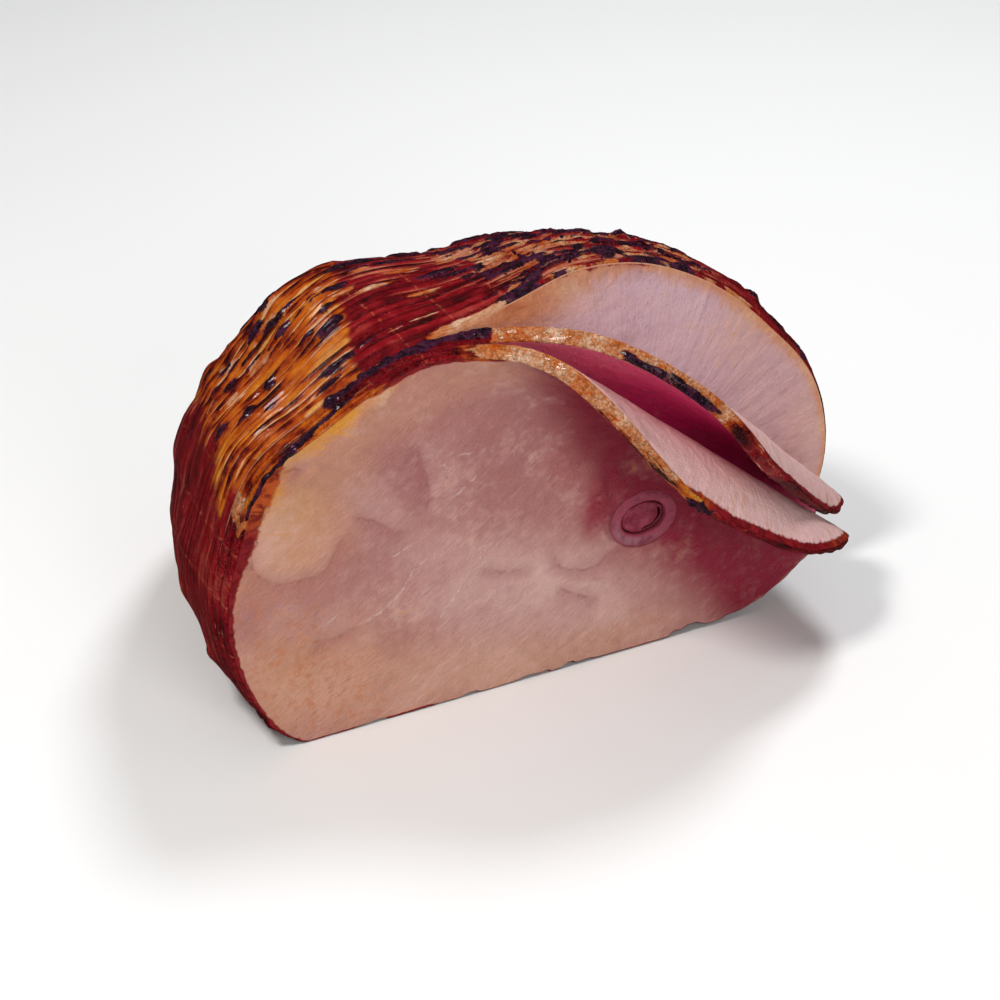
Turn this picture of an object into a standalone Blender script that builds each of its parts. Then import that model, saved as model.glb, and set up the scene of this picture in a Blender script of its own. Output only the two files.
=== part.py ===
"""Half of a glazed, bone-in ham, with its first two slices folded forward at the cut face.

Metres, +Z up.  The ham rests on its flat side, and its cut face looks along -Y.
While the pieces are made, X = 0 is the middle of the face, Y = 0 is the front of the
first slice and Z = 0 is the table.  At the end everything is moved so that the bottom
centre of the whole is at the origin.
"""
import math

import bpy
import numpy as np
from mathutils import Vector

# Outline of the cut face: (angle in degrees, radius) seen from a point FACE_EYE above the table.
# The underside is flat, so only the part above the table needs points.
FACE_EYE = 0.060
FACE_RADII = (
    (-33, 0.0995),
    (-22, 0.1085),
    (-8, 0.1135),
    (8, 0.1088),
    (26, 0.0965),
    (47, 0.0882),
    (64, 0.0833),
    (80, 0.0780),
    (95, 0.0718),
    (112, 0.0708),
    (130, 0.0800),
    (147, 0.0905),
    (160, 0.1036),
    (173, 0.1085),
    (186, 0.1128),
    (200, 0.1125),
    (209, 0.1108),
    (215, 0.1058),
)
BASE_ANGLES = (222, 234, 252, 270, 290, 310)

# Body behind the slices.
BODY_FRONT = 0.0116
BODY_DEPTH = 0.150
BODY_RINGS = 16
BODY_SIDES = 72
WIDTH_TAPER = 2.05
HEIGHT_TAPER = 1.85
# Swellings of the rind: (angle, spread in degrees, height, depth fraction where each one ends).
SWELLINGS = (
    (24, 24, 0.0070, 0.5),
    (122, 24, 0.0120, 0.8),
    (176, 34, -0.0030, 0.9),
)
# The swellings fade out over this height above the table, so that the underside stays flat.
SWELL_RISE = 0.012
# The underside curves up behind this fraction of the depth, to END_LIFT at the very end.
LIFT_START = 0.6
END_LIFT = 0.030
LIFT_REACH = 0.150

# Slices, each bent as a cone.
SLICE_THICK = 0.0052
SLICE_PITCH = 0.0058
SLICE_SIDES = 64
SLICE_RINGS = 12

# Bone, in the face's own frame.
BONE_X = 0.0343
BONE_Z = 0.0488
BONE_WIDE = 0.0254
BONE_TALL = 0.0206
BONE_WALL = 0.0043
BONE_LENGTH = 0.100
BONE_SIDES = 40
GAP = 0.0003

COLOURS = {
    "ham_body": ((0.30, 0.045, 0.018, 1.0), 0.38),
    "slice_first": ((0.52, 0.22, 0.17, 1.0), 0.45),
    "slice_second": ((0.52, 0.22, 0.17, 1.0), 0.45),
    "bone": ((0.55, 0.30, 0.24, 1.0), 0.40),
    "marrow": ((0.19, 0.025, 0.028, 1.0), 0.35),
}


class Fold:
    """A cone-shaped bend of a slice about an apex beyond its lower right edge.

    Angles are measured about the apex in the plane of the slice.  The crease leaves the apex
    at the angle `start` from +X, and the flap is clockwise from it.  The slice is flat up to
    the crease.  Each section after it is (angle it covers, bend), where bend times the angle
    covered is the angle by which the slice turns towards the viewer.  The flap dries and
    narrows by the fraction `shrink`, and its corner draws back by the distance `drawn`.
    """

    def __init__(self, apex, start, sections, shrink, drawn):
        self.apex = apex
        self.start = math.radians(start)
        self.sections = [(math.radians(span), bend) for span, bend in sections]
        self.shrink = shrink
        self.drawn = drawn


FIRST_FOLD = Fold(
    (0.4263, -0.2371), 143.0, ((3.58, 25.98), (1.14, 18.71), (180.0, 30.20)), 0.223, 0.0020
)
SECOND_FOLD = Fold(
    (0.1256, 0.0167), 148.8, ((5.65, 7.58), (17.44, 2.58), (180.0, 7.54)), 0.051, 0.0087
)
# Where the corner of the flap draws back: angle on the cut face, and spread in degrees.
DRAWN_ANGLE = 10.0
DRAWN_SPREAD = 17.0


def clear_scene():
    for old in list(bpy.data.objects):
        bpy.data.objects.remove(old, do_unlink=True)


def new_collection(name):
    collection = bpy.data.collections.new(name)
    bpy.context.scene.collection.children.link(collection)
    return collection


def smooth_step(value):
    """0 below 0, 1 above 1, and a smooth rise between."""
    value = np.clip(value, 0.0, 1.0)
    return value * value * (3.0 - 2.0 * value)


def face_radius(angle):
    """Radius of the cut face at an angle in degrees, on a smooth closed curve.

    The curve is a cubic between neighbouring points, whose slope at each point is
    that of the line through the points on either side of it.
    """
    points = list(FACE_RADII)
    points += [(a, FACE_EYE / abs(math.sin(math.radians(a)))) for a in BASE_ANGLES]
    knots = np.array([p[0] for p in points], float)
    radii = np.array([p[1] for p in points], float)
    turn = 360.0
    before = np.roll(knots, 1)
    before[0] -= turn
    after = np.roll(knots, -1)
    after[-1] += turn
    slopes = (np.roll(radii, -1) - np.roll(radii, 1)) / (after - before)
    angle = (np.asarray(angle, float) - knots[0]) % turn + knots[0]
    index = np.searchsorted(knots, angle, side="right") - 1
    follow = (index + 1) % len(knots)
    span = after[index] - knots[index]
    t = (angle - knots[index]) / span
    return (
        radii[index] * (2 * t**3 - 3 * t**2 + 1)
        + radii[follow] * (3 * t**2 - 2 * t**3)
        + slopes[index] * span * (t**3 - 2 * t**2 + t)
        + slopes[follow] * span * (t**3 - t**2)
    )


def face_outline(angle):
    """X and Z of the cut face's edge at angles in degrees; the table cuts the curve flat."""
    radius = face_radius(angle)
    x = radius * np.cos(np.radians(angle))
    z = FACE_EYE + radius * np.sin(np.radians(angle))
    return x, np.maximum(z, 0.0)


def even_angles(count):
    """Angles, in degrees, that step evenly along the edge of the cut face."""
    fine = np.linspace(0.0, 360.0, 1441)
    x, z = face_outline(fine)
    length = np.concatenate([[0.0], np.cumsum(np.hypot(np.diff(x), np.diff(z)))])
    return np.interp(np.arange(count) * length[-1] / count, length, fine)


def swelling(angle, depth):
    """How far the rind stands out from the tapered outline, at a fraction of the depth."""
    total = np.zeros_like(angle, dtype=float)
    for centre, spread, height, end in SWELLINGS:
        away = (angle - centre + 180.0) % 360.0 - 180.0
        along = math.sin(math.pi * min(depth / end, 1.0))
        total += height * along * np.exp(-((away / spread) ** 2))
    return total


def body_ring(angle, depth):
    """One cross-section of the body, at a fraction of its depth behind the cut face."""
    x, z = face_outline(angle)
    wide = (1.0 - depth**WIDTH_TAPER) ** (1.0 / WIDTH_TAPER)
    tall = (1.0 - depth**HEIGHT_TAPER) ** (1.0 / HEIGHT_TAPER)
    out = swelling(angle, depth) * smooth_step(z / SWELL_RISE)
    x = x * wide + out * np.cos(np.radians(angle))
    z = z * tall + out * np.sin(np.radians(angle))
    lift = END_LIFT * max(0.0, (depth - LIFT_START) / (1.0 - LIFT_START)) ** 2
    z = z * (1.0 - lift / LIFT_REACH) + lift
    y = np.full_like(x, BODY_FRONT + BODY_DEPTH * depth)
    return np.stack([x, y, z], axis=-1)


def turn_about(axis, angle):
    """Rotation matrices about an axis through the apex, one for each angle (Rodrigues)."""
    axis = axis / np.linalg.norm(axis)
    cross = np.array([
        [0.0, -axis[2], axis[1]],
        [axis[2], 0.0, -axis[0]],
        [-axis[1], axis[0], 0.0],
    ])
    angle = np.asarray(angle, float).reshape(-1, 1, 1)
    return np.eye(3) + np.sin(angle) * cross + (1.0 - np.cos(angle)) * (cross @ cross)


def fold_points(x, z, y, fold):
    """Bend flat points of a slice's front surface round its cone, keeping lengths.

    Each section is part of a circular cone, so its generators all turn about one fixed
    axis through the apex: the slice's normal less `bend` times the first generator.
    """
    dx = x - fold.apex[0]
    dz = z - fold.apex[1]
    reach = np.hypot(dx, dz)
    past = (fold.start - np.arctan2(dz, dx) + math.pi) % (2.0 * math.pi) - math.pi
    past = past * (1.0 - fold.shrink * np.clip(past / fold.sections[0][0], 0.0, 1.0))
    ray = np.stack([np.cos(fold.start - past), 0.0 * past, np.sin(fold.start - past)], axis=-1)
    first = np.array([math.cos(fold.start), 0.0, math.sin(fold.start)])
    normal = np.array([0.0, 1.0, 0.0])
    begin = 0.0
    for span, bend in fold.sections:
        axis = normal - bend * first
        rate = np.linalg.norm(axis)
        inside = past > begin
        turned = turn_about(axis, np.clip(past - begin, 0.0, span) * rate) @ first
        ray = np.where(inside[:, None], turned, ray)
        end = turn_about(axis, span * rate)[0]
        first = end @ first
        normal = end @ normal
        begin += span
    apex = np.array([fold.apex[0], y, fold.apex[1]])
    return apex + reach[:, None] * ray


def ring_faces(rings, sides):
    """Quads between each ring of vertices and the next one."""
    faces = []
    for ring in range(rings - 1):
        for side in range(sides):
            follow = (side + 1) % sides
            low = ring * sides
            faces.append((low + side, low + follow, low + sides + follow, low + sides + side))
    return faces


def new_object(name, points, faces, collection):
    mesh = bpy.data.meshes.new(name)
    mesh.from_pydata([tuple(p) for p in points], [], faces)
    mesh.update()
    item = bpy.data.objects.new(name, mesh)
    collection.objects.link(item)
    return item


def paint(item):
    colour, roughness = COLOURS[item.name]
    material = bpy.data.materials.new(item.name)
    material.use_nodes = True
    shader = material.node_tree.nodes["Principled BSDF"]
    shader.inputs["Base Color"].default_value = colour
    shader.inputs["Roughness"].default_value = roughness
    shader.inputs["Metallic"].default_value = 0.0
    item.data.materials.append(material)
    item.data.shade_smooth()
    item.data.set_sharp_from_angle(angle=math.radians(40))


def oval_rod(name, wide, tall, front, back, collection):
    """A closed oval rod along Y, round the axis of the bone."""
    bpy.ops.mesh.primitive_cylinder_add(
        vertices=BONE_SIDES,
        radius=0.5,
        depth=back - front,
        location=(BONE_X, (front + back) / 2, BONE_Z),
        rotation=(math.radians(90), 0.0, 0.0),
    )
    rod = bpy.context.active_object
    rod.name = name
    rod.data.name = name
    rod.scale = (wide, tall, 1.0)
    bpy.ops.object.transform_apply(location=False, rotation=True, scale=True)
    for home in list(rod.users_collection):
        home.objects.unlink(rod)
    collection.objects.link(rod)
    return rod


def cut(item, cutter):
    cutter.hide_render = True
    cutter.display_type = "WIRE"
    boolean = item.modifiers.new("cut", "BOOLEAN")
    boolean.operation = "DIFFERENCE"
    boolean.solver = "EXACT"
    boolean.object = cutter


def make_body(parts, cutters):
    """The main piece: a loft of cross-sections from the cut face to a rounded end."""
    angle = even_angles(BODY_SIDES)
    depths = [math.sin(0.5 * math.pi * k / BODY_RINGS) for k in range(BODY_RINGS)]
    rings = [body_ring(angle, depth) for depth in depths]
    tip = body_ring(np.zeros(1), 1.0)
    points = np.concatenate(rings + [tip])
    faces = ring_faces(BODY_RINGS, BODY_SIDES)
    last = (BODY_RINGS - 1) * BODY_SIDES
    pole = BODY_RINGS * BODY_SIDES
    faces += [(last + k, last + (k + 1) % BODY_SIDES, pole) for k in range(BODY_SIDES)]
    faces.append(tuple(reversed(range(BODY_SIDES))))
    faces = [tuple(reversed(face)) for face in faces]
    body = new_object("ham_body", points, faces, parts)
    bore = oval_rod(
        "bore",
        BONE_WIDE + 2 * GAP,
        BONE_TALL + 2 * GAP,
        BODY_FRONT - 0.005,
        BONE_LENGTH + GAP,
        cutters,
    )
    cut(body, bore)
    paint(body)


def make_slice(name, front, fold, parts):
    """A slice: an open sheet with a hole for the bone, bent along its fold, then thickened."""
    angle = even_angles(SLICE_SIDES)
    x_edge, z_edge = face_outline(angle)
    off_corner = (angle - DRAWN_ANGLE + 180.0) % 360.0 - 180.0
    drawn = fold.drawn * np.exp(-((off_corner / DRAWN_SPREAD) ** 2))
    x_edge = x_edge - drawn * np.cos(np.radians(angle))
    z_edge = z_edge - drawn * np.sin(np.radians(angle))
    around = np.arctan2((z_edge - BONE_Z) / BONE_TALL, (x_edge - BONE_X) / BONE_WIDE)
    x_hole = BONE_X + (BONE_WIDE / 2 + GAP) * np.cos(around)
    z_hole = BONE_Z + (BONE_TALL / 2 + GAP) * np.sin(around)
    rings = []
    for k in range(SLICE_RINGS + 1):
        t = k / SLICE_RINGS
        x = x_hole + (x_edge - x_hole) * t
        z = z_hole + (z_edge - z_hole) * t
        rings.append(fold_points(x, z, front, fold))
    faces = ring_faces(SLICE_RINGS + 1, SLICE_SIDES)
    faces = [tuple(reversed(face)) for face in faces]
    sheet = new_object(name, np.concatenate(rings), faces, parts)
    solidify = sheet.modifiers.new("thickness", "SOLIDIFY")
    solidify.thickness = SLICE_THICK
    solidify.offset = -1.0
    paint(sheet)


def make_bone(parts, cutters):
    """The leg bone: an oval tube, flush with the cut face, that runs on into the body."""
    bone = oval_rod("bone", BONE_WIDE, BONE_TALL, 0.0, BONE_LENGTH, parts)
    canal = oval_rod(
        "canal",
        BONE_WIDE - 2 * BONE_WALL,
        BONE_TALL - 2 * BONE_WALL,
        -0.005,
        BONE_LENGTH + 0.005,
        cutters,
    )
    cut(bone, canal)
    paint(bone)
    marrow = oval_rod(
        "marrow",
        BONE_WIDE - 2 * BONE_WALL - 2 * GAP,
        BONE_TALL - 2 * BONE_WALL - 2 * GAP,
        0.0,
        BONE_LENGTH,
        parts,
    )
    paint(marrow)


def stand_at_origin(parts):
    """Parent every piece to one empty that puts the bottom centre of the whole at the origin."""
    bpy.context.view_layer.update()
    graph = bpy.context.evaluated_depsgraph_get()
    corners = []
    for item in parts.objects:
        solid = item.evaluated_get(graph)
        corners += [solid.matrix_world @ vertex.co for vertex in solid.data.vertices]
    low = Vector([min(c[k] for c in corners) for k in range(3)])
    high = Vector([max(c[k] for c in corners) for k in range(3)])
    middle = (low + high) / 2
    frame = bpy.data.objects.new("ham_frame", None)
    bpy.context.scene.collection.objects.link(frame)
    frame.location = (-middle.x, -middle.y, -low.z)
    for collection in bpy.data.collections:
        for item in collection.objects:
            item.parent = frame


def main():
    clear_scene()
    parts = new_collection("glazed_ham")
    cutters = new_collection("cutters")
    make_body(parts, cutters)
    make_slice("slice_first", 0.0, FIRST_FOLD, parts)
    make_slice("slice_second", SLICE_PITCH, SECOND_FOLD, parts)
    make_bone(parts, cutters)
    stand_at_origin(parts)


main()
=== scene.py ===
import math
from collections import namedtuple

import bpy
import numpy as np
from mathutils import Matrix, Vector


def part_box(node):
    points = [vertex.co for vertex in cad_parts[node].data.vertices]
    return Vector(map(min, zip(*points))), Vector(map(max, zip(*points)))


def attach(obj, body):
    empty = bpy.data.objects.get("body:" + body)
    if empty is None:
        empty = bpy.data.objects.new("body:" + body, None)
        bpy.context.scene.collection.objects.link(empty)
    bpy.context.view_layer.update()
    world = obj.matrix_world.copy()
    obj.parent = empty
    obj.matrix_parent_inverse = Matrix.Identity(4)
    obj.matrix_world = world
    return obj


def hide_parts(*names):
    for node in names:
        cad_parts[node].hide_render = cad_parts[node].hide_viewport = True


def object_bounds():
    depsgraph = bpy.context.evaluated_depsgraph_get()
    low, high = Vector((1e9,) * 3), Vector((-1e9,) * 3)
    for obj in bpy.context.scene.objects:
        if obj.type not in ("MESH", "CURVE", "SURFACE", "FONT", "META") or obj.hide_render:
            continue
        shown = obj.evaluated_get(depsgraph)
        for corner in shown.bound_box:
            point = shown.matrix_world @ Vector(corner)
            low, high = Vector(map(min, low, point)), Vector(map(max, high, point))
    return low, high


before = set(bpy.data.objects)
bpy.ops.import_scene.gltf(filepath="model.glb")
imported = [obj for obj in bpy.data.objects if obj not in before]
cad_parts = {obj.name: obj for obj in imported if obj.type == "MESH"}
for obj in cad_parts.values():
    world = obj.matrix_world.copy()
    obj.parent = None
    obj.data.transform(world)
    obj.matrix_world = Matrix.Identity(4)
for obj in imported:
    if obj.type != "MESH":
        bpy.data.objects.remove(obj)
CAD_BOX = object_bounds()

bl_info = {
    "name": "Glazed Ham",
    "version": (1, 0, 0),
    "blender": (4, 5, 0),
    "location": "3D View > Sidebar > Ham",
    "description": "Half of a glazed, bone-in ham with two slices folded forward",
    "category": "Object",
}

MM = 0.001
TURN = 360.0

# Shape of the ham, the same as in the CAD.  The cut face's edge is given as (angle in degrees,
# radius) about a point FACE_EYE above the table.
FACE_EYE = 0.060
FACE_RADII = (
    (-33, 0.0995), (-22, 0.1085), (-8, 0.1135), (8, 0.1088), (26, 0.0965), (47, 0.0882),
    (64, 0.0833), (80, 0.0780), (95, 0.0718), (112, 0.0708), (130, 0.0800), (147, 0.0905),
    (160, 0.1036), (173, 0.1085), (186, 0.1128), (200, 0.1125), (209, 0.1108), (215, 0.1058),
)
BASE_ANGLES = (222, 234, 252, 270, 290, 310)
BODY_FRONT = 0.0116
BODY_DEPTH = 0.150
WIDTH_TAPER = 2.05
HEIGHT_TAPER = 1.85
SWELLINGS = ((24, 24, 0.0070, 0.5), (122, 24, 0.0120, 0.8), (176, 34, -0.0030, 0.9))
SWELL_RISE = 0.012
LIFT_START = 0.6
END_LIFT = 0.030
LIFT_REACH = 0.150
SLICE_THICK = 0.0052
SLICE_PITCH = 0.0058
BONE_X = 0.0343
BONE_Z = 0.0488
BONE_WIDE = 0.0254
BONE_TALL = 0.0206
BONE_WALL = 0.0043
BONE_LENGTH = 0.100
GAP = 0.0003
DRAWN_ANGLE = 10.0
DRAWN_SPREAD = 17.0

# From the shape's own coordinates to the frame's: the bone's middle and the body's cut face.
BODY_LOW, BODY_HIGH = (np.array(corner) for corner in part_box("ham_body"))
BONE_LOW, BONE_HIGH = (np.array(corner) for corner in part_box("bone"))
SHIFT = np.array([(BONE_LOW[0] + BONE_HIGH[0]) / 2 - BONE_X, BODY_LOW[1] - BODY_FRONT, 0.0])

# The seam of every turned grid is under the ham, at this angle.
SEAM_ANGLE = -90.0
# Steps between the columns of a grid round the ham's edge: on top and along the base.
BODY_STEPS = (1.65 * MM, 5.0 * MM)
SLICE_STEPS = (1.5 * MM, 1.8 * MM)
# Rows of the body's cut face, and of a slice's front, rim and back.
FACE_ROWS = 30
FRONT_ROWS = 76
RIM_ROWS = 13
BACK_ROWS = 56
# Rounding of the cut edges, and how far relief may stand out from a slice's back.
BODY_CORNER = 1.2 * MM
SLICE_CORNER = 0.9 * MM
BACK_RELIEF = 0.2 * MM
# Mean half width of the ham, which spaces the rows of the rind towards the tip.
MEAN_RADIUS = 0.105
# Columns round the bone and the marrow, and the lengths that their patterns count round them.
BONE_COLUMNS = 180
BONE_GIRTH = 70 * MM
MARROW_COLUMNS = 150
MARROW_ROWS = 36
MARROW_RADIUS = 8 * MM
# Distance to a seam that stands for no seam nearby.
NO_SEAM = 0.02
# Directions of the meat's fibres and of its fine sinews.
FIBRE_TURN = math.radians(-30)
SINEW_TURN = math.radians(-34)
# The camera: a point that it looks at, in the shape's own coordinates, and the way to it.
CAMERA_TARGET = (-0.0033, 0.0286, 0.0514)
CAMERA_AZIMUTH = math.radians(-28.0)
CAMERA_ELEVATION = math.radians(29.0)
CAMERA_DISTANCE = 0.9
CAMERA_LENS = 99.5
# Studio lights: (name, place, aim, size, power, colour, shows in highlights).
LIGHTS = (
    ("key", (-0.60, -0.25, 1.05), (0.0, 0.0, 0.05), 0.24, 7.4, (1.0, 0.98, 0.95), True),
    ("back", (0.50, 0.35, 1.00), (0.0, 0.0, 0.06), 0.30, 6.6, (0.96, 0.98, 1.0), False),
    ("front", (-0.10, -1.30, 0.60), (0.0, 0.0, 0.05), 0.60, 5.7, (1.0, 0.97, 0.95), True),
)


class Fold:
    """A cone-shaped bend about an apex beyond the lower right edge, as in the CAD.

    It starts at the crease's angle and has sections of (angle covered, bend).  The flap is
    narrower by the fraction `shrink`, and its corner draws back by the distance `drawn`.
    """

    def __init__(self, apex, start, sections, shrink, drawn):
        self.apex = apex
        self.start = math.radians(start)
        self.sections = [(math.radians(span), bend) for span, bend in sections]
        self.shrink = shrink
        self.drawn = drawn

    def past_crease(self, x, z):
        """The angle about the apex by which a flat point is past the crease."""
        angle = np.arctan2(z - self.apex[1], x - self.apex[0])
        return (self.start - angle + math.pi) % (2.0 * math.pi) - math.pi


FIRST_FOLD = Fold(
    (0.4263, -0.2371), 143.0, ((3.58, 25.98), (1.14, 18.71), (180.0, 30.20)), 0.223, 0.0020)
SECOND_FOLD = Fold(
    (0.1256, 0.0167), 148.8, ((5.65, 7.58), (17.44, 2.58), (180.0, 7.54)), 0.051, 0.0087)

# Burnt marks of the glaze on the body's rind:
# (angle, depth in mm, half length along a band in mm, half width in mm, strength).
CHAR_MARKS = (
    (125, 40, 6, 2.0, 1.0), (132, 25, 6, 2.6, 1.1), (137, 50, 10, 2.0, 1.0),
    (141, 57, 6, 2.6, 1.0), (148, 27, 3, 2.6, 1.0), (150, 55, 4.5, 2.2, 0.9),
    (153, 47, 5, 2.0, 0.9), (154.5, 23, 3.5, 2.2, 1.0), (159.5, 27, 4.5, 2.2, 1.0),
    (137.5, 9, 9, 1.9, 1.0), (141.5, 4.5, 6, 1.4, 0.8), (138, 42, 5, 2.4, 1.0),
    (133, 41, 4, 1.8, 0.8), (130.5, 33, 3, 2.2, 0.9), (93.5, 2, 10, 1.6, 1.0),
    (105, 30, 8, 2.5, 1.1), (101, 26, 5, 1.8, 1.0), (99, 22, 3, 1.4, 0.9),
    (94, 19.5, 8, 2.0, 1.0), (88, 15, 12, 2.2, 1.1), (96, 6, 13, 1.2, 0.7),
    (90, 3.5, 9, 1.2, 0.7), (82.5, 11, 4, 4.0, 1.1), (85, 40, 5, 3.5, 1.0),
    (85, 33, 4, 2.0, 0.9), (73.5, 15, 3, 2.0, 1.0), (69.5, 7, 6, 5.0, 1.1),
    (61, 2.2, 12, 1.8, 0.9), (57.5, 28, 3.5, 3.0, 1.2), (28, 12, 3, 3.0, 1.2),
    (77, 40, 4, 3.0, 1.0), (92, 48, 6, 2.5, 1.0), (110, 47, 10, 1.8, 0.9),
    (118, 52, 9, 2.0, 1.0), (64, 20, 4, 1.6, 0.9), (45, 6, 9, 1.6, 0.8),
)
# Swollen lumps of the rind: (angle, depth in mm, radius in mm, height in mm).
LUMPS = (
    (154, 82, 9, 2.6), (163, 70, 8, 2.4), (170, 58, 7, 1.8), (147, 66, 6, 1.2),
    (183, 30, 9, 1.0), (176, 42, 6, 1.2), (192, 40, 7, 1.6), (57.5, 28, 2.6, 2.2),
    (28, 12, 2.6, 1.6), (134, 60, 7, 1.0), (199, 16, 7, 1.4), (165, 96, 10, 2.0),
    (116, 60, 24, 2.2), (133, 66, 26, 2.8), (148, 74, 22, 2.4), (170, 74, 9, 2.2),
)


def smooth_step(value):
    """0 below 0, 1 above 1, and a smooth rise between."""
    value = np.clip(value, 0.0, 1.0)
    return value * value * (3.0 - 2.0 * value)


def rise(value, low, high):
    """A smooth rise from 0 at low to 1 at high."""
    return smooth_step((value - low) / (high - low))


def lattice_noise(first, second, third, seed):
    """Smooth noise from -1 to 1: seeded random values at whole numbers, blended between."""
    size = 32
    table = np.random.default_rng(seed).uniform(-1.0, 1.0, (size, size, size))
    parts = np.broadcast_arrays(first, second, third)
    cells = [np.floor(part).astype(int) for part in parts]
    blend = [smooth_step(part - cell) for part, cell in zip(parts, cells)]
    total = np.zeros(parts[0].shape)
    for corner in np.ndindex(2, 2, 2):
        weight = np.ones(parts[0].shape)
        for axis in range(3):
            weight = weight * (blend[axis] if corner[axis] else 1.0 - blend[axis])
        index = tuple((cell + step) % size for cell, step in zip(cells, corner))
        total += weight * table[index]
    return total


def sheet_noise(first, second, seed):
    """The same noise over two coordinates."""
    return lattice_noise(first, second, 0.5, seed)


def together(*parts):
    """Points from their coordinates, which may be rows, columns, grids or single numbers."""
    return np.stack(np.broadcast_arrays(*parts), axis=-1)


def with_seam(grid):
    """A grid with its first column once more at the end, so that a pattern runs on over the seam."""
    return np.concatenate([grid, grid[:, :1]], axis=1)


def cubic(t, low, high, low_slope, high_slope):
    """The cubic with given values and slopes at t = 0 and t = 1."""
    return (
        low * (2 * t**3 - 3 * t**2 + 1)
        + high * (3 * t**2 - 2 * t**3)
        + low_slope * (t**3 - 2 * t**2 + t)
        + high_slope * (t**3 - t**2)
    )


def face_radius(angle):
    """Radius of the cut face at an angle in degrees: cubics through FACE_RADII and the flat base."""
    points = list(FACE_RADII)
    points += [(a, FACE_EYE / abs(math.sin(math.radians(a)))) for a in BASE_ANGLES]
    knots = np.array([p[0] for p in points], float)
    radii = np.array([p[1] for p in points], float)
    before = np.roll(knots, 1)
    before[0] -= TURN
    after = np.roll(knots, -1)
    after[-1] += TURN
    slopes = (np.roll(radii, -1) - np.roll(radii, 1)) / (after - before)
    angle = (np.asarray(angle, float) - knots[0]) % TURN + knots[0]
    index = np.searchsorted(knots, angle, side="right") - 1
    follow = (index + 1) % len(knots)
    span = after[index] - knots[index]
    t = (angle - knots[index]) / span
    return cubic(t, radii[index], radii[follow], slopes[index] * span, slopes[follow] * span)


def face_outline(angle):
    """X and Z of the cut face's edge at angles in degrees; the table cuts the curve flat."""
    radius = face_radius(angle)
    x = radius * np.cos(np.radians(angle))
    z = FACE_EYE + radius * np.sin(np.radians(angle))
    return x, np.maximum(z, 0.0)


def outline_columns(top_step, base_step):
    """Angles round the edge and the distance along it, with one step on top and one under it."""
    fine = SEAM_ANGLE + np.linspace(0.0, TURN, 5761)
    x, z = face_outline(fine)
    pieces = np.hypot(np.diff(x), np.diff(z))
    length = np.concatenate([[0.0], np.cumsum(pieces)])
    height = (z[1:] + z[:-1]) / 2
    step = base_step + (top_step - base_step) * rise(height, 0.0005, 0.006)
    count = np.concatenate([[0.0], np.cumsum(pieces / step)])
    places = np.linspace(0.0, count[-1], int(round(count[-1])) + 1)
    return np.interp(places, count, fine)[:-1], np.interp(places, count, length)


def along_at(angle):
    """Distance along the edge of the cut face, from the seam, at angles in degrees."""
    fine = SEAM_ANGLE + np.linspace(0.0, TURN, 2881)
    x, z = face_outline(fine)
    length = np.concatenate([[0.0], np.cumsum(np.hypot(np.diff(x), np.diff(z)))])
    return np.interp((np.asarray(angle, float) - SEAM_ANGLE) % TURN + SEAM_ANGLE, fine, length)


def body_surface(angle, depth):
    """The body's rind: the cut face's edge tapered to the far end, with its swellings.

    The width shrinks as the WIDTH_TAPER superellipse of the depth fraction and the height as
    the HEIGHT_TAPER one.  Each swelling is a bell round its angle and a half wave in depth.
    """
    x, z = face_outline(angle)
    wide = (1.0 - depth**WIDTH_TAPER) ** (1.0 / WIDTH_TAPER)
    tall = (1.0 - depth**HEIGHT_TAPER) ** (1.0 / HEIGHT_TAPER)
    out = 0.0
    for centre, spread, height, end in SWELLINGS:
        away = (angle - centre + TURN / 2) % TURN - TURN / 2
        out = out + height * np.sin(np.pi * np.minimum(depth / end, 1.0)) * np.exp(-(away / spread) ** 2)
    out = out * smooth_step(z / SWELL_RISE)
    x = x * wide + out * np.cos(np.radians(angle))
    z = z * tall + out * np.sin(np.radians(angle))
    lift = END_LIFT * np.maximum(0.0, (depth - LIFT_START) / (1.0 - LIFT_START)) ** 2
    z = z * (1.0 - lift / LIFT_REACH) + lift
    return together(x, BODY_FRONT + BODY_DEPTH * depth, z)


def turn_about(axis, angle):
    """Rotation matrices about an axis through the apex, one for each angle (Rodrigues)."""
    axis = axis / np.linalg.norm(axis)
    cross = np.array([
        [0.0, -axis[2], axis[1]],
        [axis[2], 0.0, -axis[0]],
        [-axis[1], axis[0], 0.0],
    ])
    angle = np.asarray(angle, float)[..., None, None]
    return np.eye(3) + np.sin(angle) * cross + (1.0 - np.cos(angle)) * (cross @ cross)


def fold_points(x, z, front, fold):
    """Bend flat points of a slice round its cone, keeping lengths, as the CAD does."""
    reach = np.hypot(x - fold.apex[0], z - fold.apex[1])
    past = fold.past_crease(x, z)
    past = past * (1.0 - fold.shrink * np.clip(past / fold.sections[0][0], 0.0, 1.0))
    ray = np.stack([np.cos(fold.start - past), 0.0 * past, np.sin(fold.start - past)], axis=-1)
    first = np.array([math.cos(fold.start), 0.0, math.sin(fold.start)])
    normal = np.array([0.0, 1.0, 0.0])
    begin = 0.0
    for span, bend in fold.sections:
        axis = normal - bend * first
        rate = np.linalg.norm(axis)
        turned = turn_about(axis, np.clip(past - begin, 0.0, span) * rate) @ first
        ray = np.where((past > begin)[..., None], turned, ray)
        end = turn_about(axis, span * rate)
        first = end @ first
        normal = end @ normal
        begin += span
    return np.array([fold.apex[0], front, fold.apex[1]]) + reach[..., None] * ray


def hole_outline(x_edge, z_edge, wide, tall):
    """The point of an oval round the bone that faces each point of the edge."""
    around = np.arctan2((z_edge - BONE_Z) / BONE_TALL, (x_edge - BONE_X) / BONE_WIDE)
    return BONE_X + wide / 2 * np.cos(around), BONE_Z + tall / 2 * np.sin(around)


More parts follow.
